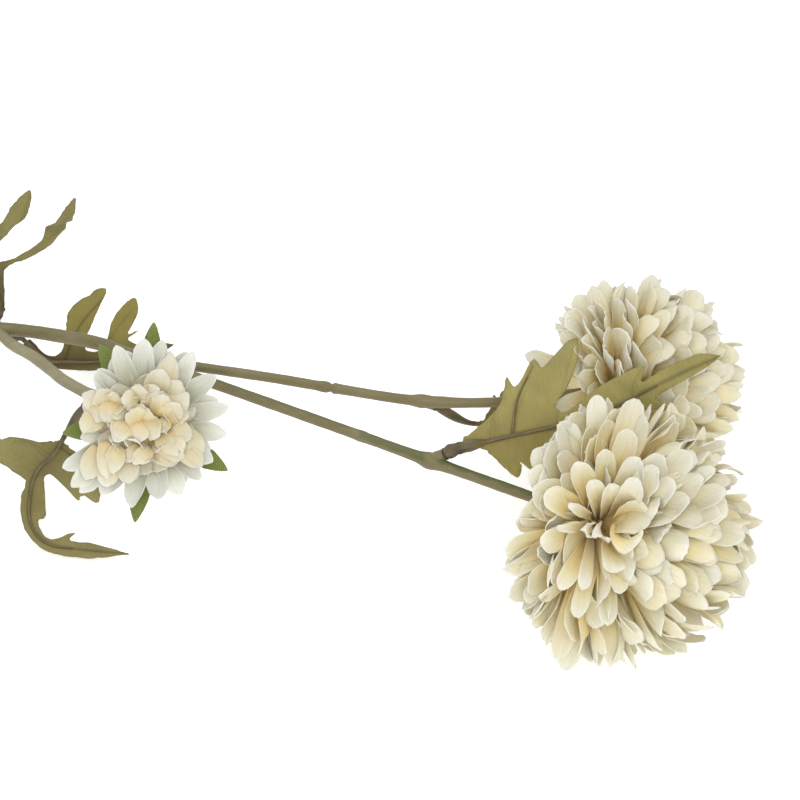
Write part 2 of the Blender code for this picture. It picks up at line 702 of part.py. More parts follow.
def buildStem(ends, stubs, material):
    """Main stem, upper branch and branch A as one tube, with the others united to it."""
    frontEnd, backEnd, smallEnd = ends
    mainPath = smoothPath([
        CUT_END, (-430, 34, 3.7), (-350, 28, 6.5), (-270, 22, 12.5), (-210, 18, 18.5), MAIN_FORK,
        (-147, 10.8, 27.5), (-132.7, 5.3, 30.0), (-116.2, -2.8, 33.5), UPPER_FORK,
        (-88, -16.8, 36.7), (-74.6, -19.7, 37), (-49.5, -25.9, 38), (-25.4, -32.6, 39),
        NODE_A, (37.7, -41.1, 40.0), backEnd - 12 * BACK_AXIS, backEnd], 42)
    radii = []
    for point in mainPath:
        if point.x < MAIN_FORK.x - 6:
            radii.append(MAIN_RADIUS)
        elif point.x < UPPER_FORK.x - 4:
            radii.append(UPPER_RADIUS)
        else:
            radii.append(BRANCH_A_RADIUS)
    branchB = smoothPath([
        UPPER_FORK - Vector((7.0, -3.0, 1.5)), UPPER_FORK, (-88, -20, 37), (-70.4, -29.4, 38),
        (-25.1, -54.2, 40.5), NODE_B, frontEnd - 14 * FRONT_AXIS, frontEnd], 16)
    lower = smoothPath([
        MAIN_FORK - Vector((8.0, -3.0, 1.5)), MAIN_FORK, (-150.9, 2.3, 28), (-142.3, -7.9, 32),
        (-133.7, -19.8, 36), (-127.4, -28.8, 39), NODE_L, (-107, -47.0, 41.6),
        (-99.0, -52.5, 42.2), (-94.4, -56.7, 44.6), smallEnd - 12 * SMALL_AXIS,
        smallEnd - 6 * SMALL_AXIS, smallEnd], 22)
    verts, faces = tubeMesh(mainPath, radii, STEM_SIDES)
    stem = makeObject("stem", verts, faces, material, MAIN_FORK, smooth=True)
    pieces = []
    branches = (
        (branchB, [BRANCH_B_RADIUS] * len(branchB)),
        (lower, [LOWER_RADIUS] * (len(lower) - 2) + [SMALL_STEM_RADIUS] * 2),
    )
    for path, widths in branches:
        verts, faces = tubeMesh(path, widths, STEM_SIDES)
        pieces.append(makeObject("branch", verts, faces, material, MAIN_FORK))
    for node, end, radius in stubs:
        path = [node, node.lerp(end, 0.5), end]
        verts, faces = tubeMesh(path, [radius * 1.15, radius * 1.2, radius], STEM_SIDES)
        pieces.append(makeObject("stub", verts, faces, material, MAIN_FORK))
    fuse(stem, pieces)


def clearScene():
    for obj in list(bpy.data.objects):
        bpy.data.objects.remove(obj)


def main():
    clearScene()
    cream = makeMaterial("cream_fabric", (0.80, 0.74, 0.58), 0.85)
    white = makeMaterial("white_fabric", (0.86, 0.86, 0.80), 0.85)
    olive = makeMaterial("olive_leaf_fabric", (0.24, 0.22, 0.07), 0.8)
    khaki = makeMaterial("khaki_stem_plastic", (0.26, 0.23, 0.14), 0.5)
    brown = makeMaterial("brown_stalk_plastic", (0.14, 0.11, 0.07), 0.5)
    green = makeMaterial("green_sepal_fabric", (0.13, 0.20, 0.04), 0.8)

    front = BloomFrame(FRONT_CENTRE, FRONT_AXIS, FRONT_SIZE)
    back = BloomFrame(BACK_CENTRE, BACK_AXIS, BACK_SIZE)
    small = BloomFrame(SMALL_CENTRE, SMALL_AXIS, 1.0)
    resting = restingPetal(front, cream)
    buildBall("front_bloom", front, settleFront, cream, SEED, [resting])
    buildBall("back_bloom", back, settleBack, cream, SEED + 1)
    buildSmallOuter(small, white)
    buildSmallInner(small, cream)

    frontBack = buildCalyx("front_bloom_calyx", front, SEAT * FRONT_SIZE, 1.0,
                           BRANCH_B_RADIUS, BIG_SEPALS, green, SEED + 5)
    backBack = buildCalyx("back_bloom_calyx", back, SEAT * BACK_SIZE, 1.0,
                          BRANCH_A_RADIUS, BIG_SEPALS, green, SEED + 6)
    smallBack = buildCalyx("small_bloom_calyx", small, OUTER_DISC_BACK, SMALL_CUP_SCALE,
                           SMALL_STEM_RADIUS, SMALL_SEPALS, green, SEED + 7)
    inSocket = SOCKET_DEPTH - PIECE_GAP
    ends = (
        FRONT_CENTRE + (frontBack + inSocket) * FRONT_AXIS,
        BACK_CENTRE + (backBack + inSocket) * BACK_AXIS,
        SMALL_CENTRE + (smallBack + inSocket) * SMALL_AXIS,
    )
    stubs = [buildLeaf(olive, brown, **leaf) for leaf in LEAVES]
    buildStem(ends, stubs, khaki)


main()
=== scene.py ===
import math

import bpy
import numpy as np
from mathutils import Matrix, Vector
from mathutils.geometry import delaunay_2d_cdt


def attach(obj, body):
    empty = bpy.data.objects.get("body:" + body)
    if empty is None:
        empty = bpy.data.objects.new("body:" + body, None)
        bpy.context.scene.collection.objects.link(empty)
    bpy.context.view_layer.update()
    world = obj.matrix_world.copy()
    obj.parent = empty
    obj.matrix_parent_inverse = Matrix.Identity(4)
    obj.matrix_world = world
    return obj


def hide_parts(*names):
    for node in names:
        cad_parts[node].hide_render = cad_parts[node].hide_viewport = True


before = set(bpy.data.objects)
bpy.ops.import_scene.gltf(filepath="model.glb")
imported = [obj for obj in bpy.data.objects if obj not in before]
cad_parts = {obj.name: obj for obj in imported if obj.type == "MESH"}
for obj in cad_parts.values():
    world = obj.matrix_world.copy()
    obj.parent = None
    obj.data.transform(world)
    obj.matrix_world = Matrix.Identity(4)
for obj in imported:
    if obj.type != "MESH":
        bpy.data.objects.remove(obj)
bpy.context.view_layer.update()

# A cut spray of artificial pompon chrysanthemums, lying on a pale table.
# Places are millimetres measured from the table point under the middle of the photograph.
# layoutShift moves them to the spray's own frame, and addPiece turns them into metres.
mm = 0.001
layoutShift = np.array([182.8, 50.5, 0.0])
facing = np.array([0.0, -1.0, 1.0]) / math.sqrt(2.0)     # from the spray to the camera
pictureUp = np.array([0.0, 1.0, 1.0]) / math.sqrt(2.0)
pictureRight = np.array([1.0, 0.0, 0.0])

photoCamera = {
    "aim": np.array([0.0, -40.0, 40.0]), "distance": 1150.0, "lean": 45,
    "pixelsPerMm": 2.65,        # at the aim
    "picture": 800, "sensor": 36.0, "nearest": 0.05,
}


def sightPoints(pixels, towards):
    # Places on the pixels' lines of sight, so many millimetres nearer the camera than the aim
    half = photoCamera["picture"] / 2
    focal = photoCamera["pixelsPerMm"] * photoCamera["distance"]
    ray = ((pixels[:, :1] - half) / focal * pictureRight
           + (half - pixels[:, 1:]) / focal * pictureUp - facing)
    start = photoCamera["aim"] + photoCamera["distance"] * facing
    return start + (photoCamera["distance"] - towards)[:, None] * ray


def unit(a):
    return a / np.maximum(np.linalg.norm(a, axis=-1, keepdims=True), 1e-9)


def smoothStep(low, high, x):
    t = np.clip((x - low) / (high - low), 0.0, 1.0)
    return t * t * (3 - 2 * t)


def bell(x, halfWidth):
    return np.exp(-(x / halfWidth) ** 2)


def mixed(a, b, share):
    return a * (1 - share) + b * share


def fullTurn(count):
    return np.linspace(0, 2 * math.pi, count, endpoint=False)


def distances(path):
    # How far along the path each of its points lies
    return np.concatenate([[0], np.cumsum(np.linalg.norm(np.diff(path, axis=0), axis=1))])


def lengthOf(path):
    return float(np.linalg.norm(np.diff(path, axis=0), axis=1).sum())


def runsOf(points):
    # Each run of four neighbouring points, with one more point put on beyond both ends
    p = np.array(points, float)
    p = np.vstack([2 * p[0] - p[1], p, 2 * p[-1] - p[-2]])
    return p, [p[k:len(p) - 3 + k][:, None, :] for k in range(4)]


def curveThrough(points, count, steps=16):
    # Catmull-Rom curve through the points, read again at even steps of its length
    p, (a, b, c, d) = runsOf(points)
    t = np.linspace(0, 1, steps, endpoint=False)[:, None]
    dense = 0.5 * (2 * b + (c - a) * t + (2 * a - 5 * b + 4 * c - d) * t ** 2
                   + (3 * b - a - 3 * c + d) * t ** 3)
    dense = np.vstack([dense.reshape(-1, p.shape[1]), p[-2]])
    reach = distances(dense)
    goals = np.linspace(0, reach[-1], count)
    return np.stack([np.interp(goals, reach, values) for values in dense.T], axis=1)


def addToScene(name, data):
    thing = bpy.data.objects.new(name, data)
    bpy.context.scene.collection.objects.link(thing)
    return thing


def addPiece(name, shells, material, node):
    # One mesh object of closed shells, standing for a CAD node
    points, uv, dye = (np.vstack([shell[key] for shell in shells])
                       for key in ("points", "uv", "dye"))
    corners, starts, smooth, offset, used = [], [], [], 0, 0
    for shell in shells:
        for faces, isSmooth in shell["faces"]:
            corners.append((faces + offset).ravel())
            starts.append(used + np.arange(len(faces)) * faces.shape[1])
            smooth.append(np.full(len(faces), isSmooth))
            used += faces.size
        offset += len(shell["points"])
    corners, starts, smooth = (np.concatenate(a) for a in (corners, starts, smooth))
    mesh = bpy.data.meshes.new(name)
    mesh.vertices.add(len(points))
    mesh.loops.add(len(corners))
    mesh.polygons.add(len(starts))
    mesh.vertices.foreach_set("co", ((points + layoutShift) * mm).astype(np.float32).ravel())
    mesh.loops.foreach_set("vertex_index", corners.astype(np.int32))
    mesh.polygons.foreach_set("loop_start", starts.astype(np.int32))
    mesh.polygons.foreach_set("use_smooth", smooth)
    cloth = mesh.uv_layers.new(name="cloth")
    cloth.data.foreach_set("uv", uv[corners].astype(np.float32).ravel())
    dye = np.hstack([np.clip(dye, 0, 1), np.ones((len(dye), 1))]).astype(np.float32)
    painted = mesh.color_attributes.new("dye", "FLOAT_COLOR", "POINT")
    painted.data.foreach_set("color", dye.ravel())
    mesh.update(calc_edges=True)
    mesh.validate()
    mesh.materials.append(material)
    piece = addToScene(name, mesh)
    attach(piece, "root")
    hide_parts(node)


def closedSheets(grid, thickness, uv, dye):
    # Blades from their middle surfaces, an array of (blade, row, column, xyz): both faces lie
    # half the thickness off along the surface's normal, and a rim of quads joins them
    blades, rows, cols, _ = grid.shape
    normal = unit(np.cross(np.gradient(grid, axis=1), np.gradient(grid, axis=2)))
    off = 0.5 * thickness[..., None] * normal
    points = np.stack([grid + off, grid - off], axis=1).reshape(-1, 3)
    top = np.arange(rows * cols).reshape(rows, cols)
    quads = np.stack([top[:-1, :-1], top[1:, :-1], top[1:, 1:], top[:-1, 1:]], -1).reshape(-1, 4)
    below = (quads + rows * cols)[:, ::-1]
    ring = np.concatenate([top[0, :-1], top[:-1, -1], top[-1, :0:-1], top[:0:-1, 0]])
    lower = ring + rows * cols
    rim = np.stack([ring, np.roll(ring, -1), np.roll(lower, -1), lower], -1)
    shift = (np.arange(blades) * 2 * rows * cols)[:, None, None]
    faces = [((quad + shift).reshape(-1, 4), isSmooth)
             for quad, isSmooth in ((np.vstack([quads, below]), True), (rim, False))]
    twice = [np.stack([a, a], axis=1).reshape(-1, a.shape[-1]) for a in (uv, dye)]
    return {"points": points, "faces": faces, "uv": twice[0], "dye": twice[1]}


def ringFaces(rows, sides, order):
    # Quads between rings of points and a fan to a pole at each end; an order of -1 turns them
    index = np.arange(rows * sides).reshape(rows, sides)
    after = np.roll(index, -1, axis=1)
    low, high = (np.full(sides, rows * sides + k) for k in range(2))
    quads = np.stack([index[:-1], index[1:], after[1:], after[:-1]], -1).reshape(-1, 4)
    first = np.stack([index[0], after[0], low], -1)
    last = np.stack([after[-1], index[-1], high], -1)
    return [(faces[:, ::order], True) for faces in (quads, first, last)]


def closedTube(path, radius, dyeOf, startWay=None):
    # A tube round the path, closed by a fan at each end; radius is an array of (station,
    # side), and side 0 faces the camera
    way = unit(np.gradient(path, axis=0))
    if startWay is not None:
        way[0] = startWay
    up = unit(facing - (way @ facing)[:, None] * way)
    across = np.cross(way, up)
    angle = fullTurn(radius.shape[1])
    ring = np.cos(angle)[:, None] * up[:, None] + np.sin(angle)[:, None] * across[:, None]
    points = path[:, None] + radius[..., None] * ring
    reach, angle = np.broadcast_arrays(distances(path)[:, None], angle)
    dye = dyeOf(points, reach, angle)
    uv = np.stack([angle * radius, reach], -1).reshape(-1, 2)
    return {"points": np.vstack([points.reshape(-1, 3), path[0], path[-1]]),
            "faces": ringFaces(*radius.shape, -1),
            "uv": np.vstack([uv, uv[:1], uv[-1:]]),
            "dye": np.vstack([dye.reshape(-1, 3), dye[0, :1], dye[-1, :1]])}


def turnedShell(bloom, profile, sides, tone, lump=0.0):
    # A closed solid turned round the bloom's axis from pairs of radius and place along it,
    # lowest first, with a pole at each end; lump makes the wall rise and fall
    profile = np.array(profile, float)
    turn = fullTurn(sides)
    outward = np.cos(turn)[:, None] * bloom["right"] + np.sin(turn)[:, None] * bloom["up"]
    radius, place = profile[1:-1, :1], profile[1:-1, 1:]
    swell = 1 + lump * np.sin(7 * turn) * np.sin(0.7 * place)
    points = (radius * swell)[..., None] * outward + place[..., None] * bloom["axis"]
    poles = profile[[0, -1], 1:] * bloom["axis"]
    uv = np.stack(np.broadcast_arrays(turn * 8, place), -1).reshape(-1, 2)
    return {"points": np.vstack([points.reshape(-1, 3), poles]) + bloom["centre"],
            "faces": ringFaces(len(place), sides, 1),
            "uv": np.vstack([uv, np.zeros((2, 2))]),
            "dye": np.tile(np.array(tone, float), (len(uv) + 2, 1))}


# Materials

clothFinish = {
    "roughness": 0.8, "specular": 0.25, "sheen": 0.08, "sheenRoughness": 0.5,
    "subsurface": 0.3, "subsurfaceScale": 0.0006,
    "threadMm": 0.42,           # spacing of the threads
    "twill": 0,                 # degrees that the threads are turned on the blade
    "weft": 0.5,                # share of the crossing threads, low for a twill
    "weaveTone": (0.07, 0.042),     # how much darker the gaps and paler the threads are
    "weaveDepth": 0.00005, "weaveRelief": 0.6, "creaseDepth": 0.0005, "creaseRelief": 0.55,
    "streaks": 0.10,            # how much the dye varies along the petal
    "streakScale": (1.1, 0.12, 1.0), "blotches": 0.07, "blotchScale": 0.16,
}
leafFinish = dict(
    clothFinish, roughness=0.72, sheen=0.10, subsurface=0.08, threadMm=0.66, twill=38, weft=0.2,
    weaveTone=(0.15, 0.09), weaveDepth=0.00014, creaseDepth=0.00025, streaks=0.14, blotches=0.098)
sepalFinish = dict(leafFinish, threadMm=0.8, twill=62, weft=0.12, weaveTone=(0.26, 0.156))
stemFinish = {
    "roughness": 0.45, "specular": 0.35, "duller": 0.14, "glossier": 0.1,
    "mottle": 0.16, "grainScale": (60, 420, 420), "grainDepth": 0.0003, "grainRelief": 0.5,
    "blotchScale": 110.0, "blotches": 0.128,
}
stalkFinish = dict(stemFinish, roughness=0.42, mottle=0.28, blotches=0.224)
waveSpacing = 0.314             # of the wave texture's bands at a scale of 1


def fill(node, values):
    # Links or sets a node's inputs, given by name or number
    for key, value in values.items():
        if isinstance(value, bpy.types.NodeSocket):
            node.id_data.links.new(value, node.inputs[key])
        else:
            node.inputs[key].default_value = value


def startMaterial(name, roughness, specular):
    material = bpy.data.materials.new(name)
    material.use_nodes = True
    shader = material.node_tree.nodes["Principled BSDF"]
    fill(shader, {"Roughness": roughness, "Specular IOR Level": specular})
    return material, shader


def addNode(shader, kind, inputs, output=0, **settings):
    # A new node in the shader's tree, and the output of it that is used
    node = shader.id_data.nodes.new("ShaderNode" + kind)
    for key, value in settings.items():
        setattr(node, key, value)
    fill(node, inputs)
    return node.outputs[output]


def dyed(shader, shades):
    # The painted dye, darker and paler by given shares as each shade's value goes from 0 to 1
    colour = addNode(shader, "Attribute", {}, attribute_name="dye")
    for value, darker, paler in shades:
        times = addNode(shader, "MapRange", {0: value, 3: 1 - darker, 4: 1 + paler})
        colour = addNode(shader, "VectorMath", {0: colour, "Scale": times}, operation="SCALE")
    return colour


def noise(shader, place, scale, detail):
    return addNode(shader, "TexNoise", {"Vector": place, "Scale": scale, "Detail": detail})


def relief(shader, height, strength, depth, below=None):
    inputs = {"Strength": strength, "Distance": depth, "Height": height}
    return addNode(shader, "Bump", inputs if below is None else dict(inputs, Normal=below))


def clothMaterial(name, finish):
    # Woven cloth: the dye attribute, lengthwise streaks, creases and a weave in millimetres
    material, shader = startMaterial(name, finish["roughness"], finish["specular"])
    uv = addNode(shader, "UVMap", {}, uv_map="cloth")
    stretched = addNode(shader, "Mapping", {"Vector": uv, "Scale": finish["streakScale"]})
    streak = noise(shader, stretched, 1.0, 4.0)
    blotch = noise(shader, uv, finish["blotchScale"], 3.0)
    turned = addNode(shader, "Mapping", {
        "Vector": uv, "Rotation": (0, 0, math.radians(finish["twill"]))})
    threads = []
    for direction, share in (("X", 1 - finish["weft"]), ("Y", finish["weft"])):
        wave = addNode(shader, "TexWave", {
            "Vector": turned, "Scale": waveSpacing / finish["threadMm"]}, 1,
            bands_direction=direction)
        threads.append(addNode(shader, "Math", {0: wave, 1: share}, operation="MULTIPLY"))
    weave = addNode(shader, "Math", {0: threads[0], 1: threads[1]}, operation="ADD")
    creases = relief(shader, streak, finish["creaseRelief"], finish["creaseDepth"])
    fill(shader, {
        "Base Color": dyed(shader, ((streak, finish["streaks"], finish["streaks"]),
                                    (blotch, finish["blotches"], finish["blotches"]),
                                    (weave, *finish["weaveTone"]))),
        "Normal": relief(shader, weave, finish["weaveRelief"], finish["weaveDepth"], creases),
        "Sheen Weight": finish["sheen"], "Sheen Roughness": finish["sheenRoughness"],
        "Subsurface Weight": finish["subsurface"], "Subsurface Radius": (1.0, 1.0, 1.0),
        "Subsurface Scale": finish["subsurfaceScale"]})
    return material


def mouldedMaterial(name, finish):
    # Moulded plastic: the dye attribute, blotches and faint scuffs along the surface
    roughness = finish["roughness"]
    material, shader = startMaterial(name, roughness, finish["specular"])
    place = addNode(shader, "TexCoord", {}, "Object")
    stretched = addNode(shader, "Mapping", {"Vector": place, "Scale": finish["grainScale"]})
    grain = noise(shader, stretched, 1.0, 5.0)
    blotch = noise(shader, place, finish["blotchScale"], 3.0)
    fill(shader, {
        "Base Color": dyed(shader, ((grain, finish["mottle"], finish["mottle"]),
                                    (blotch, finish["blotches"], finish["blotches"]))),
        "Normal": relief(shader, grain, finish["grainRelief"], finish["grainDepth"]),
        "Roughness": addNode(shader, "MapRange", {
            0: blotch, 3: roughness - finish["glossier"], 4: roughness + finish["duller"]})})
    return material


petalCloth = clothMaterial("petal_cloth", clothFinish)
whiteCloth = clothMaterial("white_petal_cloth", clothFinish)
leafCloth = clothMaterial("leaf_cloth", leafFinish)
sepalCloth = clothMaterial("sepal_cloth", sepalFinish)
stemPlastic = mouldedMaterial("stem_plastic", stemFinish)
stalkPlastic = mouldedMaterial("stalk_plastic", stalkFinish)
print("materials made")


# Petals

pathSteps = 33      # stations on a petal's middle line before it is read on the grid
petalShape = {
    "rows": 14, "cols": 9,
    "rowCrowding": 1.3, "colCrowding": 1.35,    # towards the tip and towards the edges
    "roundness": 0.96, "tipEnd": 1.03, "leastCup": 0.02,
    "edgeShare": 0.25, "edgeJitter": 0.02,      # uneven halves, and rows of uneven width
    "edgePhase": 2.2, "waveDepth": 2.2,         # the waves of both edges are out of step
    "twistPower": 1.3, "rimFrom": 0.93, "rimThinner": 0.45,
    # the tips pale partly as cloth and partly as painted highlight, the rims as painted highlight
    "paleTipAndHighlight": 0.65, "paintedRimHighlight": 0.3, "clothShift": 40,
}


def bloomFrame(centre, axis, size, **more):
    axis = unit(np.array(axis, float))
    right = unit(np.cross(axis, [0.0, 0.0, 1.0]))
    return dict(more, centre=np.array(centre, float), axis=axis, size=size, right=right,
                up=np.cross(right, axis))


def runningSum(steps):
    return np.concatenate([np.zeros_like(steps[:, :1]), np.cumsum(steps[:, :-1], axis=1)], axis=1)


def meridianPaths(bloom, p):
    # Middle lines of petals: each leaves the axis at p["start"], and its heading, measured
    # from the axis, goes evenly from p["rootHeading"] to p["tipHeading"], with an extra curl
    # near the tip
    p = {key: values[:, None] for key, values in p.items()}
    size, part = bloom["size"], np.linspace(0, 1, pathSteps)
    heading = p["rootHeading"] + (p["tipHeading"] - p["rootHeading"]) * part
    heading = np.radians(heading + p["curl"] * smoothStep(0.62, 1.0, part))
    step = p["length"] * size / (pathSteps - 1)
    radius = p["root"] * size + runningSum(np.sin(heading) * step)
    radius = np.sqrt(radius ** 2 + 0.6)         # never quite on the axis
    along = p["start"] * size + runningSum(np.cos(heading) * step)
    turn = p["turn"] + p["swirl"] * part ** 1.5
    sine, cosine = np.sin(turn)[..., None], np.cos(turn)[..., None]
    outward = cosine * bloom["right"] + sine * bloom["up"]
    side = -sine * bloom["right"] + cosine * bloom["up"]
    middle = bloom["centre"] + along[..., None] * bloom["axis"] + radius[..., None] * outward
    inner = np.sin(heading)[..., None] * bloom["axis"] - np.cos(heading)[..., None] * outward
    return middle, side, inner


def archedPaths(root, handle, tip, face):
    # Middle lines on quadratic arches from root to tip, pulled towards a handle between
    t = np.linspace(0, 1, pathSteps)[None, :, None]
    middle = ((1 - t) ** 2 * root[:, None] + 2 * t * (1 - t) * handle[:, None]
              + t ** 2 * tip[:, None])
    way = unit(np.gradient(middle, axis=1))
    side = unit(np.cross(way, face))
    return middle, side, np.cross(side, way)


def readAt(values, part):
    # The path values at each grid place's own share of the length
    place = np.clip(part, 0, 1) * (pathSteps - 1)
    low = np.minimum(place.astype(int), pathSteps - 2)
    blade = np.arange(len(values))[:, None, None]
    return mixed(values[blade, low], values[blade, low + 1], (place - low)[..., None])


def petalSheets(paths, p, style, rng):
    # A petal is its middle line widened by a spoon outline, cupped round a circular arc,
    # twisted, with wavy edges and shallow lengthwise pleats. Rows bow forward at the tip.
    shape, count = petalShape, len(paths[0])
    p = {key: values[:, None, None] for key, values in p.items()}
    u = (1 - (1 - np.linspace(0, 1, shape["rows"])) ** shape["rowCrowding"])[:, None]
    crowding = shape["colCrowding"]
    v = np.sin(np.linspace(-1, 1, shape["cols"]) * crowding) / math.sin(crowding)
    jag = rng.normal(0, style["fray"], (count, 1, shape["cols"]))
    bow = style["bow"] * (1 - np.sqrt(1 - shape["roundness"] * v ** 2))
    part = u * (1 - bow * u ** 3) - jag / p["length"] * u ** 12
    widest, rootWidth = style["widest"], style["rootWidth"]
    early = np.clip(part / widest, 0, 1) ** style["waist"]
    early = rootWidth + (1 - rootWidth) * np.sin(0.5 * math.pi * early)
    late = np.clip(part - widest, 0, 1) / (shape["tipEnd"] - widest)
    late = np.sqrt(np.clip(1 - late ** style["tipPower"], 0.0, 1))
    half = 0.5 * p["width"] * np.where(part < widest, early, late)
    jitter = rng.normal(0, shape["edgeJitter"], (count, shape["rows"], 1))
    wobble = jitter + shape["edgeShare"] * np.sign(v) * p["lean"]
    cup = np.radians(p["cup"]) * (0.5 + 0.5 * smoothStep(0.1, 0.6, part))
    cup = np.where(np.abs(cup) < shape["leastCup"], shape["leastCup"], cup)
    across = half * np.sin(cup * v) / cup * (1 + wobble * np.abs(v))
    lift = half * (1 - np.cos(cup * v)) / cup
    lift = lift + p["fold"] * half * (np.sqrt(v ** 2 + 0.02) - 0.14)
    phase = p["phase"] + np.where(v > 0, shape["edgePhase"], 0.0)
    wave = np.abs(v) ** shape["waveDepth"] * np.sin(2 * math.pi * p["waves"] * part + phase)
    lift = lift + p["ruffle"] * wave * smoothStep(0.15, 0.5, part)
    pleats = np.cos(style["pleats"] * math.pi * v + p["phase"])
    lift = lift + style["pleat"] * pleats * part
    middle, side, inner = (readAt(values, part) for values in paths)
    twist = (np.radians(p["twist"]) * part ** shape["twistPower"])[..., None]
    turnedSide = np.cos(twist) * side + np.sin(twist) * inner
    turnedInner = np.cos(twist) * inner - np.sin(twist) * side
    grid = middle + across[..., None] * turnedSide + lift[..., None] * turnedInner
    uv = np.stack([across + shape["clothShift"] * p["phase"], part * p["length"]], -1)
    rim = np.maximum(np.abs(v) ** 6, smoothStep(shape["rimFrom"], 1.0, part))
    # The root tone is partly the cloth's base colour and partly painted shade where the blades
    # crowd at their roots
    pastRootDyeAndShade = np.clip(smoothStep(*style["rootEnds"], part) - p["warm"], 0, 1)[..., None]
    # Tips pale partly as paler cloth and partly as painted highlight; the rims pale as painted
    # highlight
    pale = shape["paleTipAndHighlight"] * smoothStep(0.6, 1.0, part) + shape["paintedRimHighlight"] * rim
    pale = np.clip(pale + p["pale"], 0, 1)[..., None]
    tone = {key: np.array(colour) for key, colour in style["tones"].items()}
    dye = tone["root"] + (tone["body"] - tone["root"]) * pastRootDyeAndShade
    dye = (dye + (tone["tip"] - dye) * pale) * (1 + p["tint"][..., None])
    return grid, style["thick"] * (1 - shape["rimThinner"] * rim), uv, dye


def petalShell(paths, numbers, style, rng, crowded=None):
    # The petals as closed blades; those of a crowded bloom give way to what lies beside it
    grid, thickness, uv, dye = petalSheets(paths, numbers, style, rng)
    return closedSheets(settled(grid, crowded) if crowded else grid, thickness, uv, dye)


def petalNumbers(count, rng, **given):
    # Chance values for so many petals, with the given ones put over them: degrees for the
    # swirl, curl, cup and twist, millimetres for the ruffle, shares for the rest
    p = {
        "swirl": rng.normal(0, 0.10, count),
        "curl": rng.normal(-16, 14, count),
        "root": np.full(count, 3.0),
        "cup": rng.normal(34, 14, count),
        "fold": np.zeros(count),
        "twist": rng.normal(0, 19, count),
        "ruffle": np.abs(rng.normal(0, 0.75, count)),
        "waves": rng.uniform(1.2, 2.6, count),
        "phase": rng.uniform(0, 2 * math.pi, count),
        "lean": rng.normal(0, 0.12, count),
        "tint": rng.normal(0, 0.025, count),
        "pale": rng.normal(0, 0.10, count),
        "warm": np.clip(rng.normal(0.02, 0.13, count), -0.1, 0.45),
    }
    for key, value in given.items():
        p[key] = np.broadcast_to(np.asarray(value, float), (count,)).copy()
    return p


def keepAbove(points, soft):
    # Pushes points up off the table: below the soft height they crowd together, never under it
    z = points[..., 2]
    crowded = soft * np.exp(np.clip((z - soft) / soft, -3.0, 0))
    points[..., 2] = np.where(z < soft, crowded, z)
    return points


def keepBehind(points, origin, way, limit, soft):
    # Crowds points short of a plane that lies limit along way from the origin
    past = (points - origin) @ way - (limit - soft)
    squeezed = soft * (1 - np.exp(-np.clip(past, 0, None) / soft))
    return points - np.where(past > 0, past - squeezed, 0)[..., None] * way


def keepOffLeaf(points, spots, way, clearance, reach=13.0, most=12.0):
    # Moves points that lie near a leaf's midrib along way until they clear the blade
    gap = points[..., None, :] - spots
    depth = gap @ way
    flat = np.linalg.norm(gap - depth[..., None] * way, axis=-1)
    nearest = np.argmin(flat, axis=-1)[..., None]
    depth, flat = (np.take_along_axis(a, nearest, -1)[..., 0] for a in (depth, flat))
    short = clearance - depth
    near = (flat < reach) & (short > 0) & (short < most)
    fade = 1 - smoothStep(0.75 * reach, reach, flat)
    return points + np.where(near, short * fade, 0)[..., None] * way


# Ball blooms

# The golden root tone is partly the cloth's base colour and partly painted warm shade deep in the
# ball blooms
creamTones = {"root": (0.90, 0.69, 0.28), "body": (0.785, 0.72, 0.46), "tip": (0.79, 0.77, 0.655)}
ballStyle = {
    "bow": 0.11, "widest": 0.73, "rootWidth": 0.40, "waist": 1.2, "tipPower": 2.6, "fray": 0.22,
    "thick": 0.30, "pleat": 0.22, "pleats": 3.0, "rootEnds": (0.30, 1.0), "tones": creamTones,
}
# Layers from the skirt to the crown: petals, start on the axis, heading at the root and at
# the tip, length, width, how far the layer leans from the parting on the camera side, and
# the share that its petals are shorter there
ballLayers = (
    (17, -19, 112, 134, 36, 10.8, 0, 0.06), (18, -18.6, 106, 122, 38.5, 11.4, 0, 0.06),
    (18, -18, 100, 110, 40.5, 11.6, -1, 0.08), (18, -17, 95, 99, 42, 11.8, -3, 0.12),
    (19, -15.8, 91, 90, 43.5, 11.8, -5, 0.20), (20, -14.4, 88, 79, 45, 11.6, -31, 0.10),
    (21, -13, 84, 68, 46, 11.4, -25, 0.06), (22, -11.5, 80, 56, 46.5, 11.2, -20, 0),
    (22, -10, 76, 44, 47.5, 11, -14, 0), (20, -8.5, 70, 34, 47.5, 11, -9, 0),
    (18, -7, 62, 24, 47.5, 10.6, -5, 0), (16, -5.5, 52, 16, 47, 10.2, 0, 0),
    (12, -4, 42, 8, 46, 9.8, 0, 0), (8, -2.6, 30, 0, 45, 9.4, 0, 0), (4, -1.2, 16, -6, 44, 9, 0, 0),
)
# Chance differences between the layered petals: millimetres of start and ruffle, degrees of
# bend, heading, curl and cup, shares of the spacing, the length, the width and the paleness
ballChance = {
    "turn": 0.25, "start": 0.5, "bend": 5, "heading": 5, "length": 0.045, "shortest": -0.1,
    "longest": 0.05, "width": 0.11, "cup": 24, "ruffle": 1.0, "ruffled": (0.5, 1.3), "pale": 0.15,
    "outer": {"curl": (-6, 15), "cup": 26}, "inner": {"curl": (-22, 24), "cup": 30},
}
skirtLayers, outerLayers, layerTurn, petalsWider = 3, 5, 2.4, 1.07
# The core's dye is the roots' tone darkened by shade: painted shade between the petal roots
ballCore = {"radius": 12.0, "middle": -6.0, "rows": 12, "sides": 22, "shade": 0.7, "lump": 0.06}
bloomParting = 45.9         # from the front bloom's middle to the plane between both blooms
frontLeafMidrib = ((28, -73, 50), (43, -70, 52), (57, -68, 54), (68, -67, 57),
                   (81, -65, 63), (93, -64, 71), (106, -58, 74), (118, -51, 74))

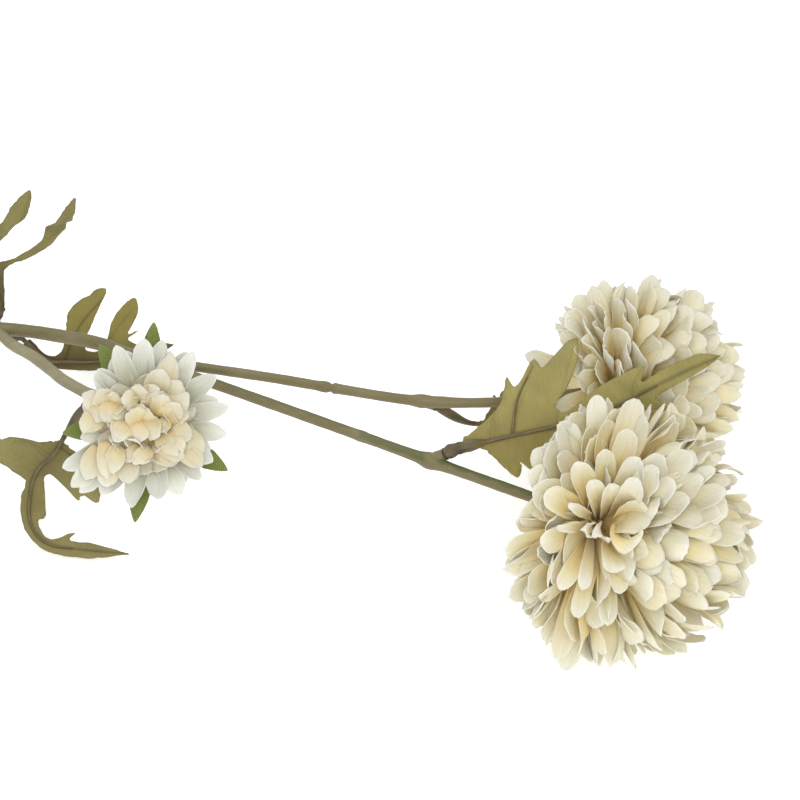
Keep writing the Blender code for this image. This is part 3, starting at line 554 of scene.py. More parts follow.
# Single petals set by their tips: pixel of the tip, millimetres towards the camera from the
# bloom's middle, start on the axis, width, lift towards the camera, cup, paleness, twist
frontSingles = (
    (505, 571, 8, -20, 9, 6, 26, 0.6, 0), (597, 394, 6, -19, 8.4, 8, 18, 0.9, 0),
    (564, 420, 8, -20, 8.6, 8, 20, 0.9, -10), (534, 449, 10, -19, 10.5, 10, 30, 0.5, 8),
    (529, 503, 14, -19, 10, 10, 44, 0.1, 0), (637, 398, 12, -17, 10.5, 10, 46, 0.2, 24),
    (526, 603, 6, -20, 9, 6, 22, 0.5, 0), (534, 628, 2, -20, 8, 5, 20, 0.5, 12),
    (557, 661, 8, -18, 8.6, 8, 32, 0, -14), (564, 671, 2, -19, 9.4, 6, 24, 0.4, 0),
    (611, 667, 14, -15, 8, 8, 34, 0, 20), (576, 462, 36, -17, 9.5, 14, 44, 0, 8),
    (604, 449, 33, -16, 9, 13, 40, 0, -8), (628, 428, 28, -15, 9.5, 12, 36, 0.1, 0),
    (545, 492, 30, -18, 10.5, 14, 44, 0.1, 0), (540, 543, 30, -18, 10.5, 14, 40, 0.1, 6),
    (569, 503, 40, -17, 4.5, 16, 60, 0.8, 30), (557, 527, 38, -17, 5, 15, 60, 0.7, 30),
    (560, 590, 32, -17, 7.5, 12, 50, 0.2, -30), (576, 618, 32, -16, 7, 12, 44, 0.3, -20),
    (582, 590, 38, -18, 5.6, 14, 24, 1, 0), (583, 531, 38, -18, 5.2, 27, 36, 1, 20),
    (600, 537, 37, -17, 8, 28, 30, 1, -10), (607, 626, 32, -15, 8.4, 12, 42, 0.4, 10),
    (619, 594, 36, -14, 8, 14, 40, 0.1, 14), (614, 573, 39, -14, 9.4, 17, 34, 0.5, -6),
    (637, 545, 41, -13, 11.5, 19, 14, 0, 12), (643, 502, 37, -13, 10.8, 16, 40, 0, 0),
    (671, 521, 35, -11, 9.6, 15, 36, 0.5, 0), (612, 483, 37, -15, 8.6, 18, 50, 0.6, 0),
    (590, 480, 37, -16, 8.4, 20, 60, 0.6, -10), (716, 470, 36, -12, 10, 9, 24, 0.6, 58),
    (704, 478, 40, -12, 9.5, 9, 30, 0.5, 52), (727, 491, 37, -11, 9.5, 9, 26, 0.6, 46),
    (676, 483, 46, -12, 10, 9, 20, 0.8, 55), (693, 454, 37, -13, 10, 9, 30, 0.6, 62),
    (665, 457, 42, -13, 10, 9, 24, 0.7, 56), (659, 469, 46, -13, 9.5, 10, 30, 0.7, 60),
    (640, 458, 43, -14, 10, 10, 24, 0.8, 50), (640, 480, 48, -13, 9, 12, 24, 0.9, 58),
    (690, 500, 46, -11, 9.5, 9, 28, 0.5, 50), (722, 515, 39, -10, 9.5, 8, 30, 0.4, 44),
)
backSingles = (
    (525, 355, 4, -19, 6.4, 4, 20, 0.6, 0), (562, 331, 10, -18, 8, 6, 24, 0.4, 0),
    (577, 294, 2, -18, 9.2, 5, 26, 0.3, 10), (592, 286, 6, -17, 8, 5, 30, 0.2, 0),
    (603, 280, 0, -16, 7.4, 4, 22, 0.2, -8), (622, 285, 8, -15, 8, 5, 26, 0.3, 0),
    (653, 275, 6, -12, 9.6, 5, 24, 0.4, 0), (556, 411, 26, -19, 10, 8, 30, 0.8, 10),
    (577, 380, 28, -17, 9.5, 8, 30, 0, 0), (584, 358, 24, -17, 9, 8, 34, 0.1, 12),
    (588, 398, 30, -17, 9.5, 8, 30, 0, -8),
)
# opening is the share of the layers' lean that this bloom takes, and partingWidth its degrees
frontBloom = bloomFrame((86.1, -115.5, 45.5), (0.87, -0.49, 0.03), 1.0, opening=1.0,
                        partingWidth=42.0, leafWay=facing, leafGap=4.0, towards=57.3, seed=5,
                        singles=frontSingles)
backBloom = bloomFrame((95.7, -30.9, 39.5), (0.985, 0.17, 0.0), 0.85, opening=0.35,
                       partingWidth=30.0, leafWay=-facing, leafGap=3.0, towards=-6.8, seed=8,
                       singles=backSingles)
partingWay = unit(backBloom["centre"] - frontBloom["centre"])
partingPlane = frontBloom["centre"] + bloomParting * partingWay
frontBloom["other"], backBloom["other"] = partingWay, -partingWay
leafSpots = curveThrough(frontLeafMidrib, 12)


def settled(points, bloom):
    # Kept off the other bloom, at the plane between them, off the front leaf and off the table
    points = keepBehind(points, partingPlane, bloom["other"], -1.0, 5.0)
    points = keepOffLeaf(points, leafSpots, bloom["leafWay"], bloom["leafGap"])
    return keepAbove(points, 3.0)


def layerNumbers(bloom, rng):
    sets, chance = [], ballChance
    towards = math.atan2(float(facing @ bloom["up"]), float(facing @ bloom["right"]))
    for number, layer in enumerate(ballLayers):
        count, start, angleA, angleB, length, wide, lean, cutBack = layer
        evenly = np.arange(count) + rng.uniform(-chance["turn"], chance["turn"], count)
        turn = number * layerTurn + 2 * math.pi * evenly / count
        away = (turn - towards + math.pi) % (2 * math.pi) - math.pi
        nearParting = bloom["opening"] * bell(away, math.radians(bloom["partingWidth"]))
        opened = lean * nearParting
        bend = rng.normal(0, chance["bend"], count)
        band = chance["outer" if number < outerLayers else "inner"]
        sets.append(petalNumbers(
            count, rng, turn=turn, start=start + rng.normal(0, chance["start"], count),
            rootHeading=angleA + 0.6 * opened + 0.5 * bend,
            tipHeading=angleB + 1.2 * opened + bend + rng.normal(0, chance["heading"], count),
            length=length * (1 - cutBack * nearParting + np.clip(
                rng.normal(0, chance["length"], count), chance["shortest"], chance["longest"])),
            width=petalsWider * wide * math.sqrt(bloom["size"]) * (
                1 + rng.normal(0, chance["width"], count)),
            curl=rng.normal(*band["curl"], count),
            cup=rng.normal(band["cup"], chance["cup"], count),
            waves=rng.uniform(1.0, 2.2, count),
            ruffle=np.abs(rng.normal(0.3, chance["ruffle"], count)) * np.where(
                rng.random(count) < 0.5, *chance["ruffled"]),
            pale=rng.normal(chance["pale"] * (number < skirtLayers), chance["pale"], count)))
    return {key: np.concatenate([numbers[key] for numbers in sets]) for key in sets[0]}


def singlePetals(bloom, rng):
    # Paths and numbers of the petals set by their tips; the strongly twisted ones are wavier
    table = np.array(bloom["singles"], float)
    tips = sightPoints(table[:, :2], bloom["towards"] + table[:, 2])
    numbers = petalNumbers(len(table), rng, width=table[:, 4], cup=table[:, 6],
                           pale=table[:, 7] * 0.5, twist=table[:, 8], warm=0.0, length=40.0)
    numbers["ruffle"] *= np.where(table[:, 8] > 40, 1.6, 0.7)
    root = bloom["centre"] + (table[:, 3] * bloom["size"])[:, None] * bloom["axis"]
    flat = tips - root
    flat = flat - (flat @ bloom["axis"])[:, None] * bloom["axis"]
    root = root + unit(flat) * 2.5
    handle = root + 0.5 * (tips - root) + table[:, 5:6] * facing
    return archedPaths(root, handle, tips, unit(facing + 0.25 * bloom["axis"])), numbers


def buildBall(name, bloom):
    # Layered petals, single petals and a round core that closes the view between their roots,
    #     # dyed the roots' tone darkened as painted shade
    rng, core = np.random.default_rng(bloom["seed"]), ballCore
    numbers = layerNumbers(bloom, rng)
    shells = [petalShell(meridianPaths(bloom, numbers), numbers, ballStyle, rng, bloom)]
    shells.append(petalShell(*singlePetals(bloom, rng), ballStyle, rng, bloom))
    polar, radius = np.linspace(math.pi, 0, core["rows"]), core["radius"] * bloom["size"]
    profile = np.stack([radius * np.sin(polar), core["middle"] + radius * np.cos(polar)], -1)
    shells.append(turnedShell(bloom, profile, core["sides"],
                              np.array(creamTones["root"]) * core["shade"], core["lump"]))
    addPiece(name + "_petals", shells, petalCloth, name)


buildBall("front_bloom", frontBloom)
buildBall("back_bloom", backBloom)
print("ball blooms made")


# Half open bloom

# The dark root tone of the white petals is partly their base colour and partly painted shade under
# the cream petals
whiteTones = {"root": (0.41, 0.41, 0.25), "body": (0.72, 0.72, 0.62), "tip": (0.78, 0.78, 0.72)}
bloomlet = bloomFrame((-92.8, -72.4, 60.0), facing, 1.0, pixelsPerMm=2.74, seed=31)
bloomlet["towards"] = (bloomlet["centre"] - photoCamera["aim"]) @ facing
outerStyle = dict(ballStyle, bow=0.16, widest=0.56, rootWidth=0.50, tipPower=1.9, fray=0.12,
                  pleat=0.10, rootEnds=(0.22, 0.92), tones=whiteTones)
# The cream petals' golden roots are partly their base colour and partly painted shade where they
# overlap
innerStyle = dict(
    ballStyle, bow=0.10, widest=0.62, rootWidth=0.55, tipPower=2.3, fray=0.15,
    rootEnds=(0.05, 0.75),
    tones={"root": (0.70, 0.54, 0.25), "body": (0.68, 0.625, 0.44), "tip": (0.74, 0.72, 0.62)})
clumpStyle = dict(innerStyle, rootWidth=0.66, widest=0.46, bow=0.22, tipPower=1.8,
                  rootEnds=(0.0, 0.8), pleat=0.26, fray=0.22)
# Tips of the white petals as the photo shows them: direction from the right, pixels out
outerTips = (
    (111, 84), (94, 86), (79, 86), (70, 77), (56, 84), (50, 87), (34, 87), (12, 85), (-5, 81),
    (-44, 79), (-64, 79), (-77, 79), (-96, 86), (-109, 62), (-120, 84), (-132, 96), (-141, 97),
    (-151, 94), (-168, 67), (165, 67), (137, 71), (127, 73))
underTips = (
    (103, 76), (22, 76), (-20, 70), (-30, 78), (-55, 72), (178, 66), (150, 66), (119, 74),
    (-146, 86))
# Low rings of cream petals that close the middle: petals, start, headings, length, width
innerRings = (
    (13, 0.4, 80, 72, 17.5, 8.6), (11, 1.4, 66, 44, 16, 8.6), (8, 2.4, 48, 16, 14.5, 8.2),
)
# Cream petals in five clumps, where the photo shows them: root pixel, tip pixel, millimetres of
# root and tip towards the camera, bulge, width, cup (below zero shows the round back), pale, twist
clumpPetals = (
    # right top, the large wrapped bowl
    (160, 402, 171, 353, 7, 6.5, 3, 9, -34, 0.7, 6),
    (152, 400, 163, 369, 8, 11, 3, 9.5, -30, 0.9, -12),
    (165, 404, 181, 381, 8, 9.5, 3.5, 9.5, -44, 0.7, 10),
    (160, 415, 188, 392, 9, 10, 4, 9.5, -40, 0.6, 16),
    (158, 411, 152, 390, 10, 12, 3.5, 10.5, -48, 0.8, 0),
    (165, 420, 181, 404, 10.5, 12.5, 2.5, 9, 46, 0.2, -20),
    (158, 417, 164, 394, 11.5, 13.5, 3, 9, -46, 0.6, 4),
    (168, 418, 189, 411, 9, 9, 3, 8, -36, 0.8, 30),
    # left
    (108, 412, 83, 393, 7, 5, 3, 8, -30, 0.9, 0), (110, 408, 98, 389, 8.5, 8, 3, 9, -38, 0.7, 14),
    (113, 404, 118, 394, 10, 11, 2, 8, -40, 0.7, -20),
    (112, 400, 109, 423, 10.5, 9.5, 3, 9, -44, 0.7, 8),
    (100, 402, 97, 423, 9.5, 7.5, 2.5, 8, -40, 0.8, -12),
    (118, 403, 124, 419, 10.5, 10.5, 2.5, 8, -38, 0.5, 24),
    (104, 410, 82, 433, 7, 5, 2.5, 8.5, -26, 0.6, 10),
    # white petals over the top
    (139, 400, 121, 402, 12, 11.5, 2.5, 7.6, -20, 1.2, 0),
    (137, 402, 143, 387, 11, 13.5, 1.5, 8, -18, 1.2, 20),
    (141, 393, 160, 389, 12, 12.5, 1.5, 5, -24, 1, 0),
    # centre
    (126, 413, 113, 442, 11, 10.5, 3.5, 8.8, -36, 0.6, -16),
    (131, 420, 121, 441, 12.5, 12.5, 4, 9.5, -48, 0.9, 12),
    (139, 418, 136, 443, 13, 12, 4, 9.5, -46, 0.8, -6),
    (148, 416, 152, 441, 12.5, 10.5, 4, 8.8, -44, 0.6, -14),
    (142, 424, 131, 409, 12.5, 14, 2.5, 8.5, 40, 0.3, 0),
    (147, 425, 146, 407, 12, 14, 2, 6.5, 30, 0.3, 24),
    (131, 411, 147, 410, 11, 12.5, 2, 4.5, -30, 0.4, 0),
    # right bottom
    (170, 424, 192, 438, 10.5, 7.5, 3.5, 8.6, -44, 0.7, 14),
    (163, 432, 184, 452, 11, 8, 4, 7.8, -46, 0.5, -8),
    (158, 433, 176, 458, 11.5, 7.5, 4, 7, -42, 0.7, -20),
    (155, 440, 184, 459, 9.5, 6.5, 3, 6.8, -30, 0.4, 10),
    (153, 450, 178, 461, 8.5, 5.5, 3, 7.5, -36, 0.8, 20),
    (178, 432, 205, 452, 8, 4, 3, 8.8, -26, 0.2, 8), (176, 440, 203, 466, 7, 4, 3, 9, -22, 0.1, 0),
    (168, 417, 160, 434, 11.5, 12, 2.5, 5.5, -40, 0.6, 30),
    # left bottom
    (104, 441, 108, 479, 8.5, 7, 3, 6, -30, 0.8, 34),
    (118, 443, 112, 474, 10.5, 8.5, 4, 7.6, -44, 0.7, 12),
    (124, 442, 126, 462, 9.5, 8, -2, 9, 52, 0.2, 0),
    (140, 446, 124, 460, 9.5, 7.5, 2.5, 5.6, -38, 0.8, -24),
    (151, 447, 134, 465, 9.5, 7, 3, 6.4, -34, 0.9, 20),
    (126, 455, 129, 484, 6.5, 5, 2.5, 8.8, -26, 0.9, -10),
    (112, 456, 106, 487, 6.5, 4.5, 2.5, 8.6, -24, 0.8, 12),
    (100, 447, 85, 480, 6.5, 3.5, 3, 8.4, -24, 0.9, 0),
)
whiteDisc = ((0, -4.4), (6.2, -4.4), (7.0, -3.8), (6.4, -2.2), (3.0, -1.2), (0, -0.6))
creamCore = ((0, 0.3), (6.0, 0.3), (8.4, 2.4), (8.2, 5.4), (5.6, 8.4), (0, 9.6))


def fanNumbers(tips, start, root, rng):
    # Petals round the flower from the direction and reach of their tips
    table, count = np.array(tips, float), len(tips)
    reach = table[:, 1] / bloomlet["pixelsPerMm"]
    heading = rng.normal(81, 3, count)
    return petalNumbers(
        count, rng, turn=math.pi - np.radians(table[:, 0]), start=start,
        rootHeading=heading + 3, tipHeading=heading - 5, root=root,
        length=(reach - root) / np.sin(np.radians(heading)), swirl=rng.normal(0, 0.03, count),
        width=rng.normal(8.6, 0.5, count), curl=rng.normal(2, 12, count),
        cup=rng.normal(26, 12, count), fold=np.abs(rng.normal(0.10, 0.08, count)),
        twist=rng.normal(0, 9, count), ruffle=np.abs(rng.normal(0, 0.35, count)),
        warm=rng.normal(0, 0.04, count), pale=rng.normal(0, 0.15, count))


def ringNumbers(number, ring, rng):
    count, start, angleA, angleB, length, wide = ring
    evenly = np.arange(count) + rng.uniform(-0.3, 0.3, count)
    bend = rng.normal(0, 8, count)
    return petalNumbers(
        count, rng, turn=1.7 * number + 2 * math.pi * evenly / count,
        start=start + rng.normal(0, 0.7, count), root=1.6,
        rootHeading=angleA + 0.5 * bend, tipHeading=angleB + bend, length=length,
        width=wide * (1 + rng.normal(0, 0.12, count)), curl=rng.normal(-20, 12, count),
        cup=rng.normal(-36, 12, count), twist=rng.normal(0, 16, count))


def clumpedPetals(rng):
    # Paths and numbers of the clumps' petals, which bulge towards the camera
    table = np.array(clumpPetals, float)
    count = len(table)
    roots, tips = (sightPoints(table[:, at:at + 2], bloomlet["towards"] + table[:, depth] + more)
                   for at, depth, more in ((0, 4, -1.8), (2, 5, 1.0)))
    numbers = petalNumbers(
        count, rng, width=table[:, 7] * 1.04, cup=table[:, 8] * 0.62,
        pale=table[:, 9] * 0.4 - 0.15, fold=rng.normal(-0.1, 0.12, count),
        twist=table[:, 10] * 1.4 + rng.normal(0, 10, count), waves=rng.uniform(0.8, 1.8, count),
        ruffle=np.abs(rng.normal(0.3, 0.7, count)), warm=rng.normal(0.10, 0.12, count))
    handle = roots + 0.45 * (tips - roots) + 1.5 * table[:, 6:7] * facing
    paths = archedPaths(roots, handle, tips, facing)
    numbers["length"] = np.linalg.norm(np.diff(paths[0], axis=1), axis=-1).sum(axis=1)
    return paths, numbers


def buildBloomlet():
    rng = np.random.default_rng(bloomlet["seed"])
    white, cream = [], []
    for tips, start, root in ((underTips, -3.8, 3.2), (outerTips, -2.4, 3.6)):
        numbers = fanNumbers(tips, start, root, rng)
        white.append(petalShell(meridianPaths(bloomlet, numbers), numbers, outerStyle, rng))
    for number, ring in enumerate(innerRings):
        numbers = ringNumbers(number, ring, rng)
        cream.append(petalShell(meridianPaths(bloomlet, numbers), numbers, innerStyle, rng))
    cream.append(petalShell(*clumpedPetals(rng), clumpStyle, rng))
    # The disc takes the white roots' tone; the cream core takes the cream roots' tone darkened,
    # painted shade in the middle
    white.append(turnedShell(bloomlet, whiteDisc, 24, whiteTones["root"]))
    cream.append(turnedShell(bloomlet, creamCore, 24, np.array(innerStyle["tones"]["root"]) * 0.8))
    addPiece("half_open_outer_petals", white, whiteCloth,
             "small_bloom_outer_petals")
    addPiece("half_open_inner_petals", cream, petalCloth,
             "small_bloom_inner_petals")


buildBloomlet()
print("half open bloom made")


# Green cups with sepals

sepalTones = {"root": (0.10, 0.125, 0.025), "body": (0.165, 0.20, 0.042), "tip": (0.22, 0.26, 0.07)}
sepalStyle = dict(ballStyle, bow=0.30, widest=0.50, rootWidth=0.55, tipPower=1.25, fray=0.10,
                  pleat=0.05, thick=0.45, rootEnds=(0.0, 0.6), tones=sepalTones)
cupShape = {
    "profile": ((3.3, 9.7), (4.6, 8.3), (6.2, 5.2), (9.0, 1.6)),    # radius, depth under the top
    "air": 0.3, "socket": 5.3, "play": 0.25, "wall": 1.1, "lip": 0.4, "ridges": 0.12, "sides": 30,
    "sepalWidth": 9.4,
}
# Sepals as direction from the right and reach, in pixels where the photo shows them
bloomletSepals = ((86, 103), (121, 94), (186, 86), (263, 100), (330, 94), (23, 62))
seenSepals = [(angle, reach / bloomlet["pixelsPerMm"] - 3.5) for angle, reach in bloomletSepals]
hiddenSepals = [(60 * k + 20, 9.5) for k in range(6)]
# Each cup: its piece, bloom, place on the bloom's axis, scale, stem radius, sepals, their
# headings at the root and the tip, its node and the seed of its chance values
cups = (
    ("front_bloom_cup", frontBloom, -19.0, 1.0, 2.0, hiddenSepals, (108, 122),
     "front_bloom_calyx", 15),
    ("back_bloom_cup", backBloom, -19.0 * 0.85, 1.0, 1.9, hiddenSepals, (108, 122),
     "back_bloom_calyx", 14),
    ("half_open_bloom_cup", bloomlet, -4.4, 0.72, 2.0, seenSepals, (90, 84),
     "small_bloom_calyx", 19),
)


def buildCup(name, bloom, seat, scale, stemRadius, sepals, headings, node, seed):
    # A turned cup with a blind socket for the stem, with sepals spreading from its rim. What
    # comes back is the stem's end in the socket.
    shape, rng = cupShape, np.random.default_rng(seed)
    top = seat - shape["air"]
    knots = np.array([(radius * scale, top - depth * scale) for radius, depth in shape["profile"]])
    back = knots[0, 1]
    knots[0, 0] = max(knots[0, 0], stemRadius + shape["wall"])
    outside = curveThrough(knots, 14)
    outside[:, 0] += shape["ridges"] * np.sin(2.4 * outside[:, 1])
    hole = stemRadius + shape["play"]
    floor = back + shape["socket"]
    rim = outside[-1, 0]
    profile = np.vstack([[(0, floor), (hole, floor), (hole, back + 0.2), (hole + 0.25, back)],
                         outside, [(rim - shape["lip"], top), (0, top)]])
    table, size = np.array(sepals, float), bloom["size"]
    numbers = petalNumbers(
        len(table), rng, turn=math.pi - np.radians(table[:, 0]), start=(top - 1.6) / size,
        root=0.55 * rim / size, length=table[:, 1] / size, width=shape["sepalWidth"], swirl=0.0,
        rootHeading=headings[0], tipHeading=headings[1], curl=0.0, cup=24.0, fold=0.14, warm=0.0,
        ruffle=0.2)
    addPiece(name, [turnedShell(bloom, profile, shape["sides"], sepalTones["body"]),
                    petalShell(meridianPaths(bloom, numbers), numbers, sepalStyle, rng)],
             sepalCloth, node)
    return bloom["centre"] + (floor - shape["air"]) * bloom["axis"]


frontEnd, backEnd, bloomletEnd = (buildCup(*cup) for cup in cups)
print("cups made")


# Leaves: a flat cut outline carried onto a bent midrib

leafShape = {
    "thickness": 0.45, "gridMm": 1.5, "fray": 0.10, "pucker": 0.28,
    # veins are darkened as painted shade in their grooves
    "veinWidth": 0.55, "veinDepth": 0.22, "paintedVeinShade": 0.42, "sideVeins": 0.4,
    "ribReach": 0.72,           # share of the blade that the rib runs along
    "lowest": 0.6, "midribSteps": 40, "cloudTone": 0.06,
}
frontLeafUpper = (
    (-4.6, 2.9), (2.5, 6.2), (11.6, 11.7), (14.4, 16.3), (16.8, 21.4), (18.5, 17.3), (27.4, 26.0),
    (29.6, 22.3), (36.0, 26.6), (48.4, 28.6), (45.8, 21.0), (31.6, 7.4), (33.2, 4.6), (41.7, 6.8),
    (51.7, 9.1), (61.5, 9.4), (70.2, 8.2), (66.4, 3.9), (74.3, 4.1), (82.2, 4.3), (91.2, 3.6))
frontLeafLower = (
    (-1.8, 1.1), (2.5, 2.4), (5.9, 7.4), (9.0, 11.8), (12.4, 15.6), (14.5, 13.0), (14.4, 10.0),
    (17.6, 13.6), (22.4, 17.4), (24.9, 12.0), (28.5, 7.2), (35.3, 4.4), (47.4, 3.8), (60.3, 5.2),
    (71.0, 9.8), (68.2, 4.2), (71.0, 3.3), (80.4, 2.9), (90.5, 1.9))
topLeafLeft = (
    (1.2, 1.3), (11.6, 3.3), (16.9, 8.0), (26.2, 17.8), (33.1, 23.3), (32.1, 14.9), (30.2, 5.8),
    (32.2, 3.1), (38.5, 8.1), (49.5, 16.3), (61.9, 17.1), (53.8, 11.6), (48.9, 3.7), (56.3, 4.2),
    (63.6, 2.8))
topLeafRight = (
    (1.2, 1.3), (6.7, 2.5), (12.9, 4.2), (16.6, 5.9), (17.9, 10.4), (16.9, 13.9), (16.1, 22.6),
    (16.3, 27.7), (18.7, 31.5), (25.0, 33.0), (32.5, 33.6), (38.2, 34.5), (42.3, 35.9),
    (41.7, 33.6), (39.6, 30.3), (35.2, 27.2), (29.0, 25.0), (23.2, 23.5), (21.3, 19.6),
    (20.7, 14.8), (20.2, 9.5), (21.6, 5.2), (26.5, 4.2), (31.1, 8.6), (37.7, 13.3), (40.1, 17.1),
    (41.9, 19.0), (44.5, 20.4), (46.5, 20.7), (45.4, 16.6), (43.1, 12.1), (39.4, 8.6), (38.7, 4.3),
    (47.1, 5.5), (54.6, 4.4))
forkLeafUpper = (
    (2.4, 2.0), (10.9, 1.7), (18.8, 4.0), (21.0, 13.5), (21.9, 20.6), (25.0, 24.7), (29.0, 26.8),
    (31.0, 29.0), (34.2, 29.3), (34.8, 27.9), (33.0, 22.3), (31.0, 16.2), (28.6, 10.0), (28.4, 5.0),
    (34.4, 4.4), (37.3, 8.8), (40.3, 16.3), (45.8, 20.5), (51.0, 22.9), (52.9, 22.8), (53.5, 17.8),
    (49.8, 12.1), (47.5, 9.6), (52.6, 9.8), (47.3, 7.6), (51.3, 4.6), (57.8, 4.3))
forkLeafLower = (
    (2.1, 2.0), (13.7, 2.4), (20.0, 3.0), (28.0, 3.4), (36.0, 3.0), (45.0, 3.4), (52.0, 3.0),
    (57.0, 2.4))
lowLeafInner = (
    (-0.3, 2.0), (0.5, 8.5), (3.1, 15.3), (4.8, 21.5), (6.5, 24.4), (7.7, 18.3), (9.5, 19.2),
    (11.2, 12.2), (11.6, 4.8), (13.9, 3.4), (19.2, 4.9), (34.6, 5.9), (35.1, 3.5), (39.6, 2.4),
    (47.4, 2.2), (56.0, 7.4), (54.6, 3.6), (62.0, 3.4), (72.0, 2.0))
lowLeafOuter = (
    (-0.1, 1.4), (1.9, 4.9), (8.5, 10.7), (12.3, 18.3), (12.5, 14.5), (10.3, 6.1), (12.8, 9.2),
    (14.0, 12.4), (12.4, 18.7), (12.4, 31.5), (14.6, 26.1), (16.4, 17.5), (17.2, 9.9), (19.2, 2.6),
    (24.8, 3.2), (34.4, 2.9), (42.2, 2.6), (50.0, 3.0), (60.8, 3.6), (70.0, 2.2))
nodeA, nodeB, nodeL = (7.5, -40.5, 40.0), (11.1, -74.8, 43.0), (-115.8, -39.7, 41.5)
mainFork, upperFork = (-159.9, 15.0, 24.0), (-101.9, -12.6, 36.0)
# Each leaf: midrib, outlines, turn about the midrib by its tip in degrees, droop, ripple, the
# # stem node it leaves, the way it heads, its stub and stalk radius, where its rib meets the
# # blade, side veins as start and end in the blade's plane, and the dye near the midrib, darker
# # there as painted shade, and at the lobes. drawnLength is given where an outline is drawn
# # for a longer blade.
leaves = (
    dict(name="front_leaf", seed=31, midrib=frontLeafMidrib, left=frontLeafUpper,
         right=frontLeafLower, turn=0, droop=0.6, ripple=0.8, node=nodeB,
         way=(19.1, -73.8, 47.2), stub=5.8, radius=2.1, ribStart=-6.6, thickFoot=1.3,
         veins=((13.5, 26, 23), (5, 15, 17), (30, 45, 25), (7, 11.5, 13), (15, 21.5, 15),
                (60, 69, 8), (62, 69, -8)),
         near=(0.30, 0.25, 0.085), far=(0.34, 0.295, 0.10)),
    dict(name="top_leaf", seed=23, midrib=((-157, 21, 27), (-159, 25, 37), (-162, 28, 46),
         (-164, 32, 56), (-164, 37, 66), (-167, 44, 73), (-172, 55, 78)),
         left=topLeafLeft, right=topLeafRight, turn=0, droop=0.5, ripple=0.8, node=mainFork,
         way=(-157.6, 19.4, 28.4), stub=4.4, radius=1.2, ribStart=3.0,
         veins=((14, 30, 19), (32, 55, 15), (12, 38, -32), (24, 44, -19)),
         near=(0.12, 0.095, 0.038), far=(0.245, 0.22, 0.08)),
    dict(name="fork_leaf", seed=36, midrib=((-149, 15, 19), (-140, 12, 10.4), (-131, 13, 8.4),
         (-121, 13, 8.4), (-111, 12, 10.4), (-101, 12, 13.5), (-89, 12, 18.8)),
         left=forkLeafUpper, right=forkLeafLower, turn=0, droop=0.4, ripple=0.5, node=mainFork,
         way=(-150.0, 15.0, 19.6), stub=7.2, radius=1.4, ribStart=0.1,
         veins=((20, 34, 25), (33, 52, 19)),
         near=(0.11, 0.082, 0.032), far=(0.27, 0.23, 0.06)),
    dict(name="low_leaf", seed=27, midrib=((-129, -45, 22), (-132, -49, 19), (-136, -52, 17),
         (-139, -57, 15), (-140, -62, 12), (-140, -71, 9.4), (-137, -78, 6.6), (-131, -81.5, 4.2),
         (-122, -82.6, 3.4), (-113, -84, 3.4), (-101.5, -85, 3.2)),
         left=lowLeafInner, right=lowLeafOuter, turn=-62, droop=0.4, ripple=0.5, node=nodeL,
         way=(-121.2, -40.6, 34.2), stub=4.6, radius=1.4, ribStart=-2.3,
         veins=((1.5, 5, 20), (6, 11.5, -14), (8, 12.8, -27)),
         near=(0.22, 0.185, 0.07), far=(0.28, 0.25, 0.09)),
    dict(name="back_leaf", seed=28, midrib=((30, -38, 25), (38, -34.5, 20.5), (46, -29, 16.5),
         (54, -22, 13), (61, -14, 10), (67, -5, 8), (72, 5, 6.5), (76, 15, 5.5)),
         left=frontLeafLower, right=frontLeafLower, turn=0, droop=0.5, ripple=0.5, node=nodeA,
         way=(21.0, -38.0, 30.6), stub=6.2, radius=1.5, ribStart=-3.3,
         veins=((7, 10, 10), (7, 10, -10), (14, 19, 11), (14, 19, -11)), drawnLength=99.0,
         near=(0.22, 0.19, 0.07), far=(0.26, 0.23, 0.08)),
)
for leaf in leaves:
    leaf["path"] = curveThrough(leaf["midrib"], leafShape["midribSteps"])
    leaf["length"] = lengthOf(leaf["path"])
    leaf["trim"] = leaf["length"] / leaf.get("drawnLength", leaf["length"])


def outlineThrough(points, steps=5):
    # Centripetal Catmull-Rom curve, which keeps sharp lobes free of loops
    p, (a, b, c, d) = runsOf(points)
    t1, t2, t3 = (np.linalg.norm(v, axis=-1, keepdims=True) ** 0.5 for v in (b - a, c - b, d - c))
    t2 = t1 + t2
    t3 = t2 + t3
    t = t1 + (t2 - t1) * np.linspace(0, 1, steps, endpoint=False)[None, :, None]
    low = mixed(a, b, t / t1)
    mid = mixed(b, c, (t - t1) / (t2 - t1))
    high = mixed(c, d, (t - t2) / (t3 - t2))
    early, late = mixed(low, mid, t / t2), mixed(mid, high, (t - t1) / (t3 - t1))
    return np.vstack([mixed(early, late, (t - t1) / (t2 - t1)).reshape(-1, 2), p[-2]])


def isInside(points, ring):
    # True where a line drawn to the right crosses the ring an odd number of times
    x, y = points[:, :1], points[:, 1:]
    a, b = ring, np.roll(ring, -1, axis=0)
    rise = np.where(b[:, 1] == a[:, 1], 1e-9, b[:, 1] - a[:, 1])
    left = x < (b[:, 0] - a[:, 0]) * (y - a[:, 1]) / rise + a[:, 0]
    return (((a[:, 1] > y) != (b[:, 1] > y)) & left).sum(axis=1) % 2 == 1


def gapsTo(points, others):
    return np.linalg.norm(points[:, None] - others[None], axis=-1)


